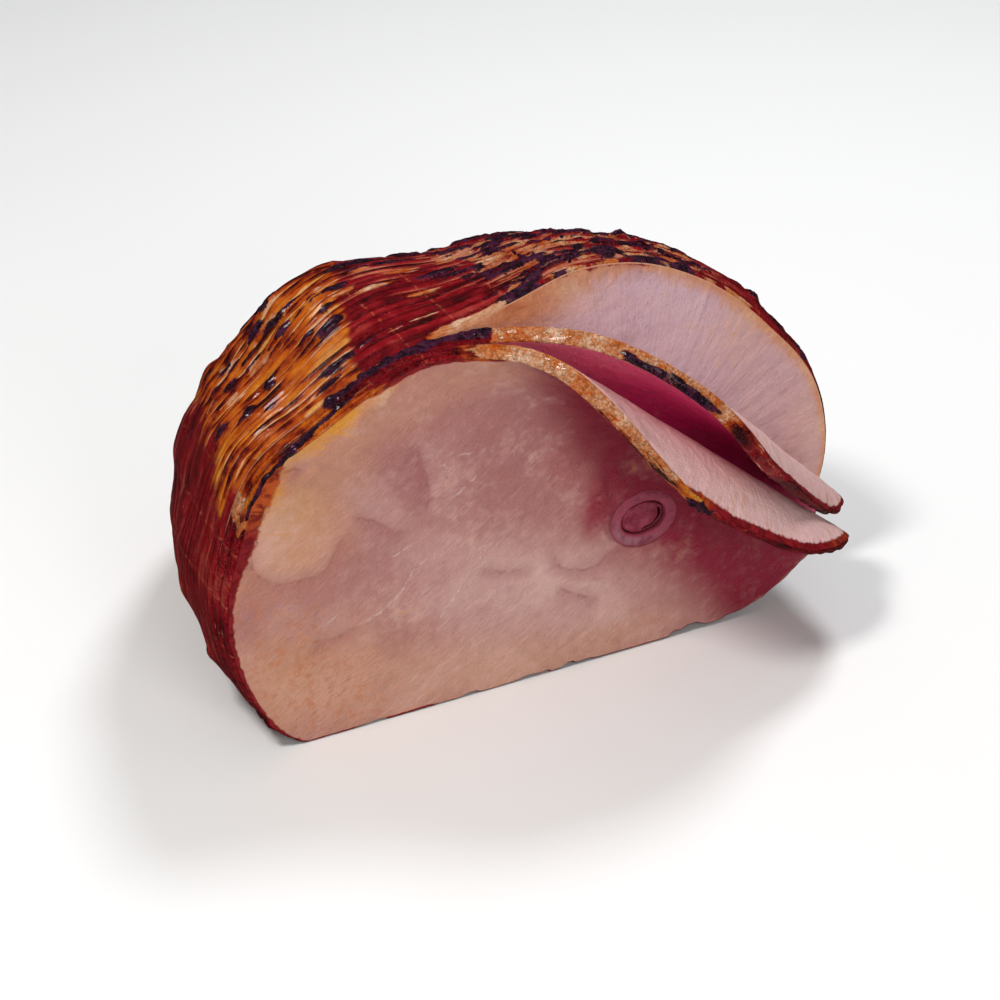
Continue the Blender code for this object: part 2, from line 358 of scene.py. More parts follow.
def grid_normals(points):
    """Unit normals of a grid that closes round its second direction."""
    across = np.gradient(points, axis=0)
    around = np.roll(points, -1, axis=1) - np.roll(points, 1, axis=1)
    normal = np.cross(around, across)
    return normal / (np.linalg.norm(normal, axis=-1, keepdims=True) + 1e-12)


def corner_pattern(pattern, ends):
    """Pattern coordinates at every corner of every face, in the order of the face functions."""
    grid = pattern if ends else np.concatenate([pattern, pattern[:1]], axis=0)
    quads = np.stack([grid[:-1, :-1], grid[1:, :-1], grid[1:, 1:], grid[:-1, 1:]], axis=2)
    parts = [quads.reshape(-1, 2)]
    if ends:
        for edge, order in ((grid[0], (2, 0, 1)), (grid[-1], (0, 2, 1))):
            here = np.stack([edge[:-1], edge[1:], (edge[:-1] + edge[1:]) / 2], axis=1)
            parts.append(here[:, order].reshape(-1, 2))
    return np.concatenate(parts)


def grid_faces(rows, columns, closed):
    """Corners of a grid's quads; the second direction closes, and the first one if asked."""
    row = np.arange(rows if closed else rows - 1)[:, None]
    column = np.arange(columns)[None, :]
    above = (row + 1) % rows
    beside = (column + 1) % columns
    corners = np.stack([
        row * columns + column,
        above * columns + column,
        above * columns + beside,
        row * columns + beside,
    ], axis=-1)
    return corners.reshape(-1, 4).tolist()


def cap_faces(rows, columns):
    """Corners of the fans that close the first and the last row, each to a point after the grid."""
    pole = rows * columns
    side = np.arange(columns)
    follow = (side + 1) % columns
    last = (rows - 1) * columns
    low = np.stack([np.full(columns, pole), side, follow], axis=1)
    high = np.stack([last + side, np.full(columns, pole + 1), last + follow], axis=1)
    return low.tolist() + high.tolist()


def with_poles(value, columns):
    """Point values with one more for each of the two poles: the mean of the row beside it."""
    low = value[:columns].mean(axis=0, keepdims=True)
    high = value[-columns:].mean(axis=0, keepdims=True)
    return np.concatenate([value, low, high])


def add_mark(mesh, key, value):
    """Put a named mask on a mesh's points, or a named colour where the values have three parts."""
    if value.shape[1] == 1:
        attribute = mesh.attributes.new(key, "FLOAT", "POINT")
        attribute.data.foreach_set("value", value.astype(np.float32).ravel())
    else:
        attribute = mesh.attributes.new(key, "FLOAT_COLOR", "POINT")
        colour = np.concatenate([value, np.ones((len(value), 1))], axis=1)
        attribute.data.foreach_set("color", colour.astype(np.float32).ravel())


def build_mesh(name, points, patterns, marks, row_slots, materials, ends):
    """A closed mesh from a grid of points that closes round its second direction.

    ends is a pair of points that close the first and last rows, or None where the last row
    joins the first.  patterns are named maps of two coordinates with one more column, so that
    they run on over the seam, and marks are named masks or colours, one for each point.
    """
    rows, columns = points.shape[:2]
    faces = grid_faces(rows, columns, closed=ends is None)
    slots = np.repeat(row_slots[: len(faces) // columns], columns)
    flat = points.reshape(-1, 3)
    marks = {key: value.reshape(rows * columns, -1) for key, value in marks.items()}
    if ends:
        faces += cap_faces(rows, columns)
        slots = np.concatenate([slots, np.repeat([row_slots[0], row_slots[-2]], columns)])
        flat = np.concatenate([flat, np.array(ends)])
        marks = {key: with_poles(value, columns) for key, value in marks.items()}
    mesh = bpy.data.meshes.new(name)
    mesh.from_pydata((flat + SHIFT).tolist(), [], faces)
    mesh.update()
    for key, pattern in patterns.items():
        layer = mesh.uv_layers.new(name=key)
        layer.data.foreach_set("uv", corner_pattern(pattern, ends).astype(np.float32).ravel())
    for key, value in marks.items():
        add_mark(mesh, key, value)
    for material in materials:
        mesh.materials.append(material)
    mesh.polygons.foreach_set("material_index", slots.astype(np.int32))
    mesh.shade_smooth()
    mesh.update()
    piece = bpy.data.objects.new(name, mesh)
    bpy.context.scene.collection.objects.link(piece)
    return piece


def window(angle, low, high, soft):
    """1 between two angles and 0 outside, with soft ends."""
    return rise(angle, low - soft, low + soft) * (1.0 - rise(angle, high - soft, high + soft))


def spread_marks(table, along, depth, wander, power=1.0):
    """The strongest of a table of long soft marks: bells in distance along and across a band."""
    strongest = np.zeros(np.broadcast(along, depth).shape)
    for angle, deep, half_long, half_wide, strength in table:
        aside = (along - along_at(angle) / MM) / half_long
        across = (depth + wander - deep) / half_wide
        bell = strength * np.exp(-((aside**2 + across**2) ** power))
        strongest = np.maximum(strongest, bell)
    return strongest


# Raw, tan places of the rind, and golden ones, in the form of CHAR_MARKS.
RAW_MARKS = (
    (146, 42, 7, 4.0, 1.2), (140, 51, 8, 2.5, 1.2), (155, 38, 5, 3.0, 1.0), (151, 60, 6, 3.0, 1.1),
    (119, 31, 9, 2.0, 0.8), (112, 21, 9, 1.6, 0.8), (124, 8, 6, 1.0, 0.45), (116, 9, 9, 1.0, 0.5),
    (108, 37, 10, 2.0, 0.7), (98, 38, 8, 3.0, 0.8), (90, 28, 8, 3.0, 0.9), (84, 22, 6, 3.0, 0.9),
    (76, 24, 6, 4.0, 0.8), (76, 6, 6, 3.0, 0.9), (66, 16, 5, 2.0, 0.7), (143, 14, 4, 1.6, 0.6),
    (100, 15, 8, 1.2, 0.6), (127, 44, 6, 2.0, 0.7), (158, 48, 5, 2.5, 0.6),
    (118, 45, 6, 2.5, 0.8), (125, 36, 5, 1.8, 0.8), (110.5, 39, 8, 2.0, 0.9),
)
GOLD_MARKS = (
    (150, 12, 8, 5, 1.0), (143, 22, 7, 6, 1.0), (158, 12, 8, 4, 1.0), (133, 33, 9, 5, 1.0),
    (162, 20, 8, 4, 0.9), (138, 17, 7, 3, 0.9), (150, 33, 7, 3, 0.7), (130, 14, 6, 3, 0.7),
    (145, 4, 9, 2, 0.9), (129, 42, 7, 3, 0.9), (155, 4, 8, 3, 1.0), (66, 10, 8, 3, 0.5),
    (84, 27, 8, 3, 0.6), (156, 30, 5, 3, 0.8),
)


# Parts of the rind, as masks from 0 to 1.
Zones = namedtuple("Zones", "top flank far deep_in front_amber")


def rind_zones(angle, a, d, band, far):
    """Where the parts of the rind are, from the angle and the millimetres along and across bands.

    The top has dry crust, the flank is smooth and red, and the front has amber glaze between
    two limits.  Noise makes these limits wander, and the lower one differs from band to band.
    """
    edge_wave = 2.0 * sheet_noise(a / 40, d / 7, 23)
    edge_wave = edge_wave + 7.0 * rise(d, 30, 75) * sheet_noise(a / 26, d / 19, 30)
    edge = angle + edge_wave
    ending = edge + 0.12 * d + 5.0 * sheet_noise(a / 14, band * 2.9, 38)
    return Zones(
        top=window(angle - 0.12 * d, 40, 97, 5),
        flank=rise(angle + 0.12 * d, 162, 168),
        far=far,
        deep_in=rise(d, 52, 78),
        front_amber=rise(edge + 0.27 * d, 134.2, 137.8) * (1.0 - rise(ending, 164, 170)),
    )


def band_relief(a, phase, band_pitch, band_height, zones):
    """Height of the bands: slabs with a narrow groove, or round ridges, the square of a sine."""
    away = np.abs(phase - np.round(phase))
    level = sheet_noise(a / 22, np.floor(phase) * 5.3, 13)
    slab = 1.0 - np.exp(-((away * band_pitch / MM / 0.42) ** 2))
    rounded = np.sin(np.pi * phase) ** 2
    round_share = np.clip(zones.front_amber + 0.3 * zones.top, 0.0, 1.0)
    profile = slab + (rounded - slab) * round_share
    strong = (0.75 + 0.85 * round_share) * (1.0 - 0.65 * zones.flank) * (1.0 - 0.72 * zones.far)
    return band_height * strong * (profile * (0.9 + 0.4 * level) + 0.55 * level)


def burnt_glaze(angle, a, d, phase, drift, zones):
    """Mask of the burnt glaze: the listed marks, lenses on the ridges and clots on the top.

    A lens is where the nearness to the ridge plus seeded noise along it is high enough.
    """
    band = np.floor(phase)
    away = np.abs(phase - np.round(phase))
    char = spread_marks(CHAR_MARKS, a + 2.0 * lattice_noise(a / 6, d / 5, 3.5, 18), d, drift, 1.3)
    near_ridge = 1.0 - (0.5 - away) / 0.34
    burn = sheet_noise(a / 9, band * 3.1, 19) + 0.5 * sheet_noise(a / 3.0, band * 7.7, 20)
    burn = burn + 0.30 * rise(d, 34, 52) * window(angle, 100, 170, 6)
    burn = burn + 0.25 * zones.top - 0.36 * zones.flank
    burn = burn - 0.35 * window(angle, 98, 128, 3) * (1.0 - rise(d, 36, 46)) - 0.30 * zones.front_amber
    lens = 0.62 * near_ridge + 0.75 * burn
    clots = sheet_noise(a / 4.5, d / 3.0, 26) + 0.5 * sheet_noise(a / 2.0, d / 1.5, 27)
    lens = np.maximum(lens, zones.top * rise(clots, 0.05, 0.75))
    return np.maximum(char, rise(lens, 0.42, 1.15))


def bare_places(angle, a, d, drift, zones):
    """Mask of the tan places: the listed marks, the crusty top, the cut edge and far spots."""
    raw = spread_marks(RAW_MARKS, a, d, drift)
    ground = rise(sheet_noise(a / 7, d / 3.2, 28), -0.35, 0.45)
    raw = np.maximum(raw, zones.top * (0.35 + 0.40 * ground) * (1.0 - 0.4 * rise(d, 35, 60)))
    margin = window(angle, 96, 120, 3) * (1.0 - rise(d + 1.2 * drift, 1.2, 3.2))
    margin = margin + window(angle, 30, 96, 5) * (1.0 - rise(d + drift, 0.4, 2.0))
    raw = np.maximum(raw, margin)
    return np.maximum(raw, 0.45 * rise(sheet_noise(a / 14, d / 5, 24), 0.3, 0.8) * rise(d, 50, 70))


def golden_places(a, d, drift, zones):
    """Mask of the golden places: the listed marks, and patches deep in and on the flank."""
    gold = spread_marks(GOLD_MARKS, a, d, drift)
    gold = np.maximum(gold, 0.7 * rise(sheet_noise(a / 20, d / 9, 25), 0.1, 0.7) * zones.deep_in)
    return np.maximum(gold, 0.7 * zones.flank * rise(sheet_noise(a / 16, d / 12, 29), -0.5, 0.4))


def bare_lines(angle, a, d, phase, zones):
    """Half width, in phase, of the bare line along each groove, or below 0 where there is none."""
    open_line = sheet_noise(a / 15, np.round(phase) * 3.7, 14)
    pale = -0.04 + 0.16 * rise(open_line, -0.1, 0.75) + 0.06 * zones.front_amber + 0.12 * zones.top
    pale = pale + 0.08 * window(angle, 98, 140, 5) * rise(d, 26, 42)
    return pale - 0.07 * zones.flank - 0.03 * zones.far


def rind_relief(angle, along, depth, band_pitch, band_height, crust_height):
    """Height of the rind above its smooth form, in metres, and the masks of its glaze.

    Bands lie parallel to the cut edge.  The phase is the depth plus a slow wander over the band
    pitch: whole phases are grooves, and the middle between two of them is a ridge.
    """
    a = along / MM
    d = depth / MM
    far = rise(d, 62, 112)
    wander = (1.1 + 3.0 * far) * sheet_noise(a / 48, d / 26, 11)
    wander = wander + (0.35 + 1.1 * far) * sheet_noise(a / 13, d / 9, 12)
    phase = (d + wander) / (band_pitch / MM)
    zones = rind_zones(angle, a, d, np.floor(phase), far)

    height = band_relief(a, phase, band_pitch, band_height, zones)
    height = height + 0.6 * MM * sheet_noise(a / 12, d / 12, 15)
    height = height + 0.15 * MM * sheet_noise(a / 3.1, d / 2.0, 16)
    for centre, deep, radius, tall in LUMPS:
        aside = ((a - along_at(centre) / MM) ** 2 + (d - deep) ** 2) / radius**2
        height = height + tall * MM * np.exp(-aside)
    drift = 0.7 * sheet_noise(a / 5, d / 3.5, 17)
    char = burnt_glaze(angle, a, d, phase, drift, zones)
    crust = rise(char, 0.38, 0.80)
    grains = np.abs(sheet_noise(a / 1.5, d / 1.5, 21))
    height = height + crust * crust_height * (0.50 + 0.75 * grains + 0.5 * zones.top) * (1.0 - 0.6 * far)

    front = zones.front_amber
    patch = sheet_noise(a / 55, d / 38, 22) + 0.55 * sheet_noise(a / 21, d / 17, 37)
    masks = {
        "char": char,
        "amber": front + (rise(patch + 0.25 * front, -0.75, 0.95) - front) * zones.deep_in,
        "raw": bare_places(angle, a, d, drift, zones),
        "gold": golden_places(a, d, drift, zones),
        "phase": phase,
        "pale": bare_lines(angle, a, d, phase, zones),
        "grainy": 0.75 * zones.top,
    }
    return height, {key: np.broadcast_to(value, height.shape) for key, value in masks.items()}


# Broad tones of the cut faces: (x mm, z mm, half width mm, half height mm, colour, strength).
FRONT_TONES = (
    (-92, 84, 13, 11, "gold", 0.55), (-96, 74, 16, 16, "tan", 0.7), (-90, 70, 20, 13, "peach", 0.6),
    (-76, 92, 18, 12, "tan", 0.45), (-60, 106, 24, 9, "tan", 0.45), (-28, 118, 30, 9, "peach", 0.4),
    (-84, 24, 30, 20, "peach", 1.0), (-52, 12, 30, 15, "peach", 0.6), (-15, 8, 30, 11, "tan", 0.7),
    (22, 8, 26, 11, "tan", 0.5), (-78, 44, 18, 9, "pink", 0.5), (-60, 78, 14, 10, "pale", 0.25),
    (-45, 60, 12, 10, "pale", 0.45), (-42, 88, 20, 18, "mauve", 0.75), (-6, 54, 16, 9, "mauve", 0.4),
    (-14, 84, 20, 20, "mauve", 0.7), (-8, 36, 28, 14, "pale", 1.0), (-28, 46, 18, 12, "pale", 0.5),
    (-20, 12, 70, 16, "pale", 0.35), (-80, 30, 30, 24, "pale", 0.2),
    (16, 22, 18, 10, "pale", 0.6), (-66, 62, 10, 10, "pink", 0.4), (0, 104, 18, 14, "mauve", 0.8),
    # The "deep" patch at (18.5, 57) is painted shade beside the bone.
    (18.5, 57, 5, 10, "deep", 0.9), (-84, 70, 15, 10, "peach", 0.5), (-58, 36, 12, 9, "mauve", 0.35),
)
# Painted shade: the second slice's front is painted deep magenta all over, for the shade between the
# slices.
SECOND_SHADE_TONES = ((60, 80, 120, 120, "fold", 1.0),)
BODY_TONES = (
    (20, 105, 60, 34, "lilac", 1.0), (84, 70, 26, 52, "pink", 0.35), (106, 60, 14, 40, "tan", 0.35),
    (88, 108, 20, 16, "tan", 0.35), (-6, 128, 26, 8, "tan", 0.8),
)
BACK_TONES = ((60, 80, 120, 120, "rose", 1.0),)
# Painted shade: the first face is painted deep red past this line, where it lies under the flap and by
# the bone, as (z mm, x mm), and over this width.
PAINTED_SHADE_EDGE = ((0, 68), (25, 47), (45, 23), (55, 14), (75, 9), (95, 1), (115, -4))
PAINTED_SHADE_WIDTH = 15.0
# Seams between muscles on the first face, as (x mm, z mm) that a smooth curve runs through.
SEAMS = (
    ((-98, 90), (-102, 78), (-102, 67), (-95, 60), (-87, 59), (-79, 60), (-74, 68), (-69, 75)),
    ((-69, 75), (-65, 75), (-59, 71), (-56, 68), (-48, 66)),
    ((-48, 99), (-45, 88), (-43, 78), (-45, 68)),
    ((-27, 47), (-17, 43), (-4, 41)),
    ((-86, 37), (-78, 35), (-73, 36), (-68, 38)),
    ((1, 48), (3, 40), (10, 36), (17, 36), (21, 39), (26, 41)),
    ((2, 32), (10, 27), (20, 22)),
    ((-104, 97), (-96, 96), (-88, 98), (-83, 95)),
)
# Pale curved sinews on the first face, in the same form.
SINEWS = (
    ((-72, 37), (-60, 41), (-53, 46), (-48, 53), (-40, 57)),
    ((-44, 28), (-35, 39), (-29, 47), (-22, 54), (-14, 58)),
    ((-44, 84), (-38, 87), (-32, 89), (-26, 88)),
    ((-36, 74), (-30, 78), (-24, 82)),
    ((-62, 57), (-54, 60), (-49, 62)),
)
# Small lumps of gristle left of the bone on the first face: (x mm, z mm, radius mm, height mm).
GRISTLE = (
    (17, 65, 2.4, 1.3), (19, 60, 2.0, 1.2), (17, 56, 1.8, 1.0), (24, 68, 2.0, 0.8),
    (20, 52, 1.6, 0.8),
)
# Width of the fat margin under the rind, as (angle, width in mm).
BODY_MARGIN = (
    (-90, 1.5), (-20, 3), (20, 6), (45, 7), (60, 7), (80, 12), (95, 24), (112, 26), (140, 8), (270, 2),
)
FIRST_MARGIN = (
    (-90, 1.5), (90, 2), (125, 3), (136, 9), (160, 12), (176, 6), (190, 3), (215, 3), (270, 1.5),
)
SECOND_MARGIN = ((-90, 1.5), (40, 2), (90, 2), (270, 2))


def curve_through(points, count):
    """Points along a smooth curve through a few, by cubics whose slopes are their neighbours'."""
    knots = np.array(points, float)
    padded = np.concatenate([2 * knots[:1] - knots[1:2], knots, 2 * knots[-1:] - knots[-2:-1]])
    slopes = (padded[2:] - padded[:-2]) / 2
    place = np.linspace(0.0, len(knots) - 1.0, count)
    index = np.minimum(place.astype(int), len(knots) - 2)
    t = (place - index)[:, None]
    return cubic(t, knots[index], knots[index + 1], slopes[index], slopes[index + 1])


def painted_shade_share(x, z):
    """How far a point of the first slice's front lies in the painted shade, deep red, under the flap and
    by the bone, from 0 to 1.
    """
    a = x / MM
    b = z / MM
    edge = np.array(PAINTED_SHADE_EDGE, float)
    past = a - np.interp(b, edge[:, 0], edge[:, 1]) + 4.0 * sheet_noise(a / 12, b / 12, 33)
    return rise(past + 2.0 * sheet_noise(a / 4, b / 4, 34), -PAINTED_SHADE_WIDTH, PAINTED_SHADE_WIDTH)


def seam_fields(x, z, seams):
    """Signed distance in metres to the nearest seam, its nearness and the step of tone across it.

    The sign is the side of the seam that the point is on, so the seam itself is where the
    distance passes through 0.  The nearness falls as a bell and fades at a seam's ends.  The
    step runs from -1 to 1 across the seam and fades away from it.
    """
    signed = np.full(x.shape, NO_SEAM)
    nearest = np.full(x.shape, NO_SEAM)
    near = np.zeros(x.shape)
    step = np.zeros(x.shape)
    place = np.stack([x, z], axis=-1)
    for seam in seams:
        path = curve_through(seam, 40) * MM
        heading = np.gradient(path, axis=0)
        heading /= np.linalg.norm(heading, axis=1, keepdims=True)
        offsets = place[..., None, :] - path
        reach = np.linalg.norm(offsets, axis=-1)
        best = np.argmin(reach, axis=-1)
        offset = np.take_along_axis(offsets, best[..., None, None], axis=-2)[..., 0, :]
        side = heading[best][..., 0] * offset[..., 1] - heading[best][..., 1] * offset[..., 0]
        closest = np.min(reach, axis=-1)
        ends = np.minimum(best, len(path) - 1 - best) / 8.0
        closer = closest < nearest
        signed = np.where(closer, side, signed)
        near = np.where(closer, np.exp(-((closest / 0.0028) ** 2)) * smooth_step(ends), near)
        fading = np.tanh(side / 0.0007) * np.exp(-closest / 0.008) * smooth_step(ends)
        step = np.where(closer, fading, step)
        nearest = np.minimum(nearest, closest)
    return signed, near, step


def blend_tones(x, z, base, tones, palette):
    """A base colour with soft oval patches of the palette's colours laid over it."""
    colour = np.broadcast_to(np.array(palette[base]), x.shape + (3,)).copy()
    a = x / MM
    b = z / MM
    a = a + 4.0 * sheet_noise(a / 14, b / 14, 31) + 2.4 * sheet_noise(a / 4, b / 4, 35)
    b = b + 4.0 * lattice_noise(a / 14, b / 14, 7.5, 32) + 2.4 * lattice_noise(a / 4, b / 4, 7.5, 36)
    for centre_x, centre_z, half_x, half_z, name, strength in tones:
        bell = ((a - centre_x) / half_x) ** 2 + ((b - centre_z) / half_z) ** 2
        weight = (strength * np.exp(-(bell**1.3)))[..., None]
        colour = colour * (1.0 - weight) + np.array(palette[name]) * weight
    return colour


def face_relief(x, z, near=0.0):
    """Height of a cut face: soft swells, fibres that run up to the right, and sunk seams."""
    a = x / MM
    b = z / MM
    slant = 0.87 * b - 0.5 * a
    run = 0.87 * a + 0.5 * b
    swell = sheet_noise(a / 17, b / 17, 41) + 0.5 * sheet_noise(a / 7, b / 7, 42)
    fibres = sheet_noise(slant / 2.2, run / 12, 43)
    return MM * (0.40 * swell + 0.16 * fibres - 0.42 * near)


def face_margin(angle, inward, widths):
    """How far a point belongs to the fat under the rind: 1 at the edge, 0 past the local width."""
    knots = np.array(widths, float)
    width = np.interp((angle + 90.0) % TURN - 90.0, knots[:, 0], knots[:, 1]) * MM
    return np.clip(1.0 - inward / width, 0.0, 1.0)


def skin_rows():
    """Depth fractions of the rind's rows, and how far along the rind each is from the cut face.

    The far end closes along a superellipse, and the rows are spaced by that curve's length.
    """
    fine = np.linspace(0.0, 0.9995, 4001)
    girth = MEAN_RADIUS * (1.0 - fine**WIDTH_TAPER) ** (1.0 / WIDTH_TAPER)
    path = np.concatenate([[0.0], np.cumsum(np.hypot(np.diff(fine) * BODY_DEPTH, np.diff(girth)))])
    step = (0.55 + 0.55 * rise(path, 0.055, 0.075)) * MM
    count = np.concatenate([[0.0], np.cumsum(np.diff(path) / step[1:])])
    begin = np.interp(BODY_CORNER, path, count)
    places = np.linspace(begin, count[-1], int(count[-1] - begin))
    return np.interp(places, count, fine)[:, None], np.interp(places, count, path)[:, None]


def body_skin(angle, along, sizes):
    """The rind's points with their relief, their depths along the rind and the glaze masks.

    The relief goes out along the surface's normal and fades at the table, edge and tip.
    """
    fraction, depth = skin_rows()
    skin = body_surface(angle, fraction)
    normal = grid_normals(skin)
    middle = np.array([0.0, BODY_FRONT + BODY_DEPTH / 2, 0.05])
    normal *= np.sign(((skin - middle) * normal).sum(axis=-1, keepdims=True))
    height, masks = rind_relief(
        angle, along, depth, sizes.band_pitch, sizes.band_height, sizes.crust_height)
    height = height * rise(skin[..., 2], 0.0, 0.010) * rise(depth, 0.0, 0.0035)
    height = height * (1.0 - 0.8 * rise(fraction, 0.97, 1.0))
    skin = skin + normal * height[..., None]
    skin[..., 2] = np.maximum(skin[..., 2], 0.0)
    return skin, depth, masks


def body_piece(sizes, palette, materials):
    """The ham itself, one closed skin from the bore round the bone, over the cut face to the tip."""
    angles, along = outline_columns(*BODY_STEPS)
    angle = angles[None, :]
    x_edge, z_edge = face_outline(angles)
    x_hole, z_hole = hole_outline(x_edge, z_edge, BONE_WIDE + 2 * GAP, BONE_TALL + 2 * GAP)
    reach = np.hypot(x_edge - x_hole, z_edge - z_hole)

    bore_depths = np.array([BONE_LENGTH + GAP, 0.06, 0.03, BODY_FRONT + 0.004])
    bore = together(x_hole, bore_depths[:, None], z_hole)

    share = np.sin(0.5 * np.pi * np.linspace(0.0, 1.0, FACE_ROWS))[:, None] * (1.0 - BODY_CORNER / reach)
    x_face = x_hole + (x_edge - x_hole) * share
    z_face = z_hole + (z_edge - z_hole) * share
    inward = reach * (1.0 - share)
    creases = sheet_noise(along[None, :-1] / MM / 3.2, inward / MM / 22, 44)
    lift = face_relief(x_face, z_face) + 0.22 * MM * creases * (1.0 - rise(inward, 0.020, 0.050))
    lift = lift * rise(inward, 0.0, 0.006) * rise(share * reach, 0.0, 0.004)
    face = np.stack([x_face, BODY_FRONT - lift, z_face], axis=-1)

    bend = np.radians([22.0, 45.0, 68.0])[:, None]
    inset = BODY_CORNER / reach * (1.0 - np.sin(bend))
    edge = np.stack([
        x_edge + (x_hole - x_edge) * inset,
        np.broadcast_to(BODY_FRONT + BODY_CORNER * (1.0 - np.cos(bend)), inset.shape),
        z_edge + (z_hole - z_edge) * inset,
    ], axis=-1)
    skin, depth, masks = body_skin(angle, along[None, :-1], sizes)
    points = np.concatenate([bore, face, edge, skin])

    flat = together(with_seam(x_face), with_seam(z_face))
    edge_and_skin = np.concatenate([np.zeros((len(edge), 1)), depth])
    turned = together(along[None, :], edge_and_skin)
    ray = together(along[None, :], with_seam(inward))
    patterns = {
        "pattern": np.concatenate([np.repeat(flat[:1], len(bore), axis=0), flat, turned]),
        "rays": np.concatenate([np.repeat(ray[:1], len(bore), axis=0), ray, turned]),
    }

    def on_rind(value):
        """A mask of the rind, run on over the rounded edge, with 0 in the bore and on the face."""
        head = np.zeros((len(bore) + len(face), len(angles)))
        return np.concatenate([head, np.repeat(value[:1], len(edge), axis=0), value])

    def on_face(value, rind_value):
        """A mask of the cut face, with 0 in the bore and one value from the rounded edge on."""
        head = np.zeros((len(bore), len(angles)))
        return np.concatenate([head, value, np.full((len(edge) + len(skin), len(angles)), rind_value)])

    marks = {key: on_rind(value) for key, value in masks.items()}
    tone = blend_tones(x_face, z_face, "lilac", BODY_TONES, palette)
    marks["tone"] = np.pad(tone, ((len(bore), len(edge) + len(skin)), (0, 0), (0, 0)), mode="edge")
    margin = face_margin(angle, inward, BODY_MARGIN)
    marks["margin"] = on_face(margin, 1.0)
    marks["striped"] = on_face(1.0 - rise(inward, 0.020, 0.055), 1.0)
    marks["fleck"] = on_face(np.sqrt(margin) * window(angle, -30, 125, 10), 0.0)
    browned = 0.6 * np.exp(-((inward / 0.0036) ** 2)) * window(angle, 57, 88, 8)
    marks["seep"] = on_face(browned, 0.0)
    slots = np.zeros(len(points), int)
    slots[: len(bore) + len(face)] = 1
    tip = body_surface(np.zeros(1), np.ones(1))[0]
    ends = ((BONE_X, BONE_LENGTH + GAP, BONE_Z), tip)
    return build_mesh("ham_skin_and_meat", points, patterns, marks, slots, materials, ends)


def first_rim_masks(angle, w, a):
    """Glaze masks on the rim of the first slice, by angle round the edge and place across it."""
    wave = sheet_noise(a / 9, w * 2.0, 51)
    angle = angle + 3.0 * wave
    raw = 0.95 * window(angle, 78, 113, 3) + 0.60 * window(angle, 49, 78, 3)
    raw = raw + 0.9 * window(angle, 165.5, 168.5, 0.8) + 0.25 * window(angle, 112, 136, 4)
    amber = window(angle, 136, 168, 3) + 0.9 * window(angle, 41, 80, 3) + window(angle, 110, 117, 2)
    amber = amber + 0.5 * window(angle, -12, 4, 4)
    gold = window(angle, 138, 164, 4) + 1.2 * window(angle, 43, 51, 2) + 0.4 * window(angle, 60, 80, 5)
    char = 0.8 * window(angle, 39, 45, 1.2) + 0.5 * window(angle, 52, 60, 2) * (1.0 - rise(w, 0.2, 0.5))
    char = char + 0.40 * window(angle, 12, 38, 5) * rise(w + 0.3 * wave, 0.2, 0.7)
    line = (w + 0.12 * wave - 0.85 + 0.05 * (angle - 144)) / 0.34
    char = char + 1.3 * window(angle, 141, 166, 2) * np.exp(-(line**2))
    return raw, amber, gold, char


def second_rim_masks(angle, w, a):
    """The same for the second slice: a burnt wet line at the top left, burnt lumps on the flap."""
    wave = sheet_noise(a / 9, w * 2.0, 52)
    angle = angle + 2.0 * wave
    lumps = window(angle, 50, 76, 2) * (1.0 - rise(w + 0.25 * wave, 0.50, 0.70))
    line = window(angle, 107, 146, 2) * rise(w + 0.25 * wave, 0.10, 0.35)
    char = line * (0.85 + 0.35 * wave) + lumps * (0.80 + 0.35 * wave)
    char = char + 0.35 * window(angle, -10, 30, 5) * (1.0 - rise(w, 0.2, 0.6))
    raw = 0.95 * window(angle, 48, 107, 2) + 0.9 * window(angle, 164, 168, 0.8)
    raw = raw + 0.30 * window(angle, 20, 47, 4)
    amber = 0.9 * window(angle, 40, 75, 4) + 0.9 * window(angle, 142, 168, 3)
    gold = 0.9 * window(angle, 47, 62, 3) + 0.3 * window(angle, 70, 100, 5) + window(angle, 146, 162, 3)
    return raw, amber, gold, char


# What sets one slice apart; only a slice with seams has a detailed front.
SlicePlan = namedtuple("SlicePlan", "node front fold rim_masks tones base margins seams")


def slice_columns(fold):
    """Columns of a slice: angle, distance along the edge, and X and Z of the edge and the bore."""
    angles, along = outline_columns(*SLICE_STEPS)
    x_edge, z_edge = face_outline(angles)
    off_corner = (angles - DRAWN_ANGLE + TURN / 2) % TURN - TURN / 2
    drawn = fold.drawn * np.exp(-((off_corner / DRAWN_SPREAD) ** 2))
    turn = np.radians(angles)
    x_edge = x_edge - drawn * np.cos(turn)
    z_edge = z_edge - drawn * np.sin(turn)
    frayed = 0.9 * MM * sheet_noise(2.4 * np.cos(turn), 2.4 * np.sin(turn), 58)
    x_hole, z_hole = hole_outline(x_edge, z_edge, BONE_WIDE - GAP + frayed, BONE_TALL - GAP + frayed)
    return angles[None, :], along, x_edge, z_edge, x_hole, z_hole


def slice_rows():
    """Rows of a slice: place w through it, share of the way out, bulge and 1 on the rim."""
    front = np.sin(0.5 * np.pi * np.linspace(0.0, 1.0, FRONT_ROWS))
    back = np.sin(0.5 * np.pi * np.linspace(1.0, 0.0, BACK_ROWS))
    bore = np.array([0.66, 0.33])
    bend = np.radians(np.linspace(-80.0, 80.0, RIM_ROWS))
    rim_w = 0.5 + 0.5 * np.sign(bend) * np.abs(np.sin(bend)) ** 0.8
    bulge = SLICE_CORNER * np.abs(np.cos(bend)) ** 0.8
    before = np.zeros(FRONT_ROWS)
    after = np.zeros(BACK_ROWS + len(bore))
    w = np.concatenate([before, rim_w, np.ones(BACK_ROWS), bore])
    share = np.concatenate([front, np.ones(RIM_ROWS), back, 0.0 * bore])
    out = np.concatenate([before, bulge, after])
    on_rim = np.concatenate([before, np.ones(RIM_ROWS), after])
    return w[:, None], share[:, None], out[:, None], on_rim[:, None]


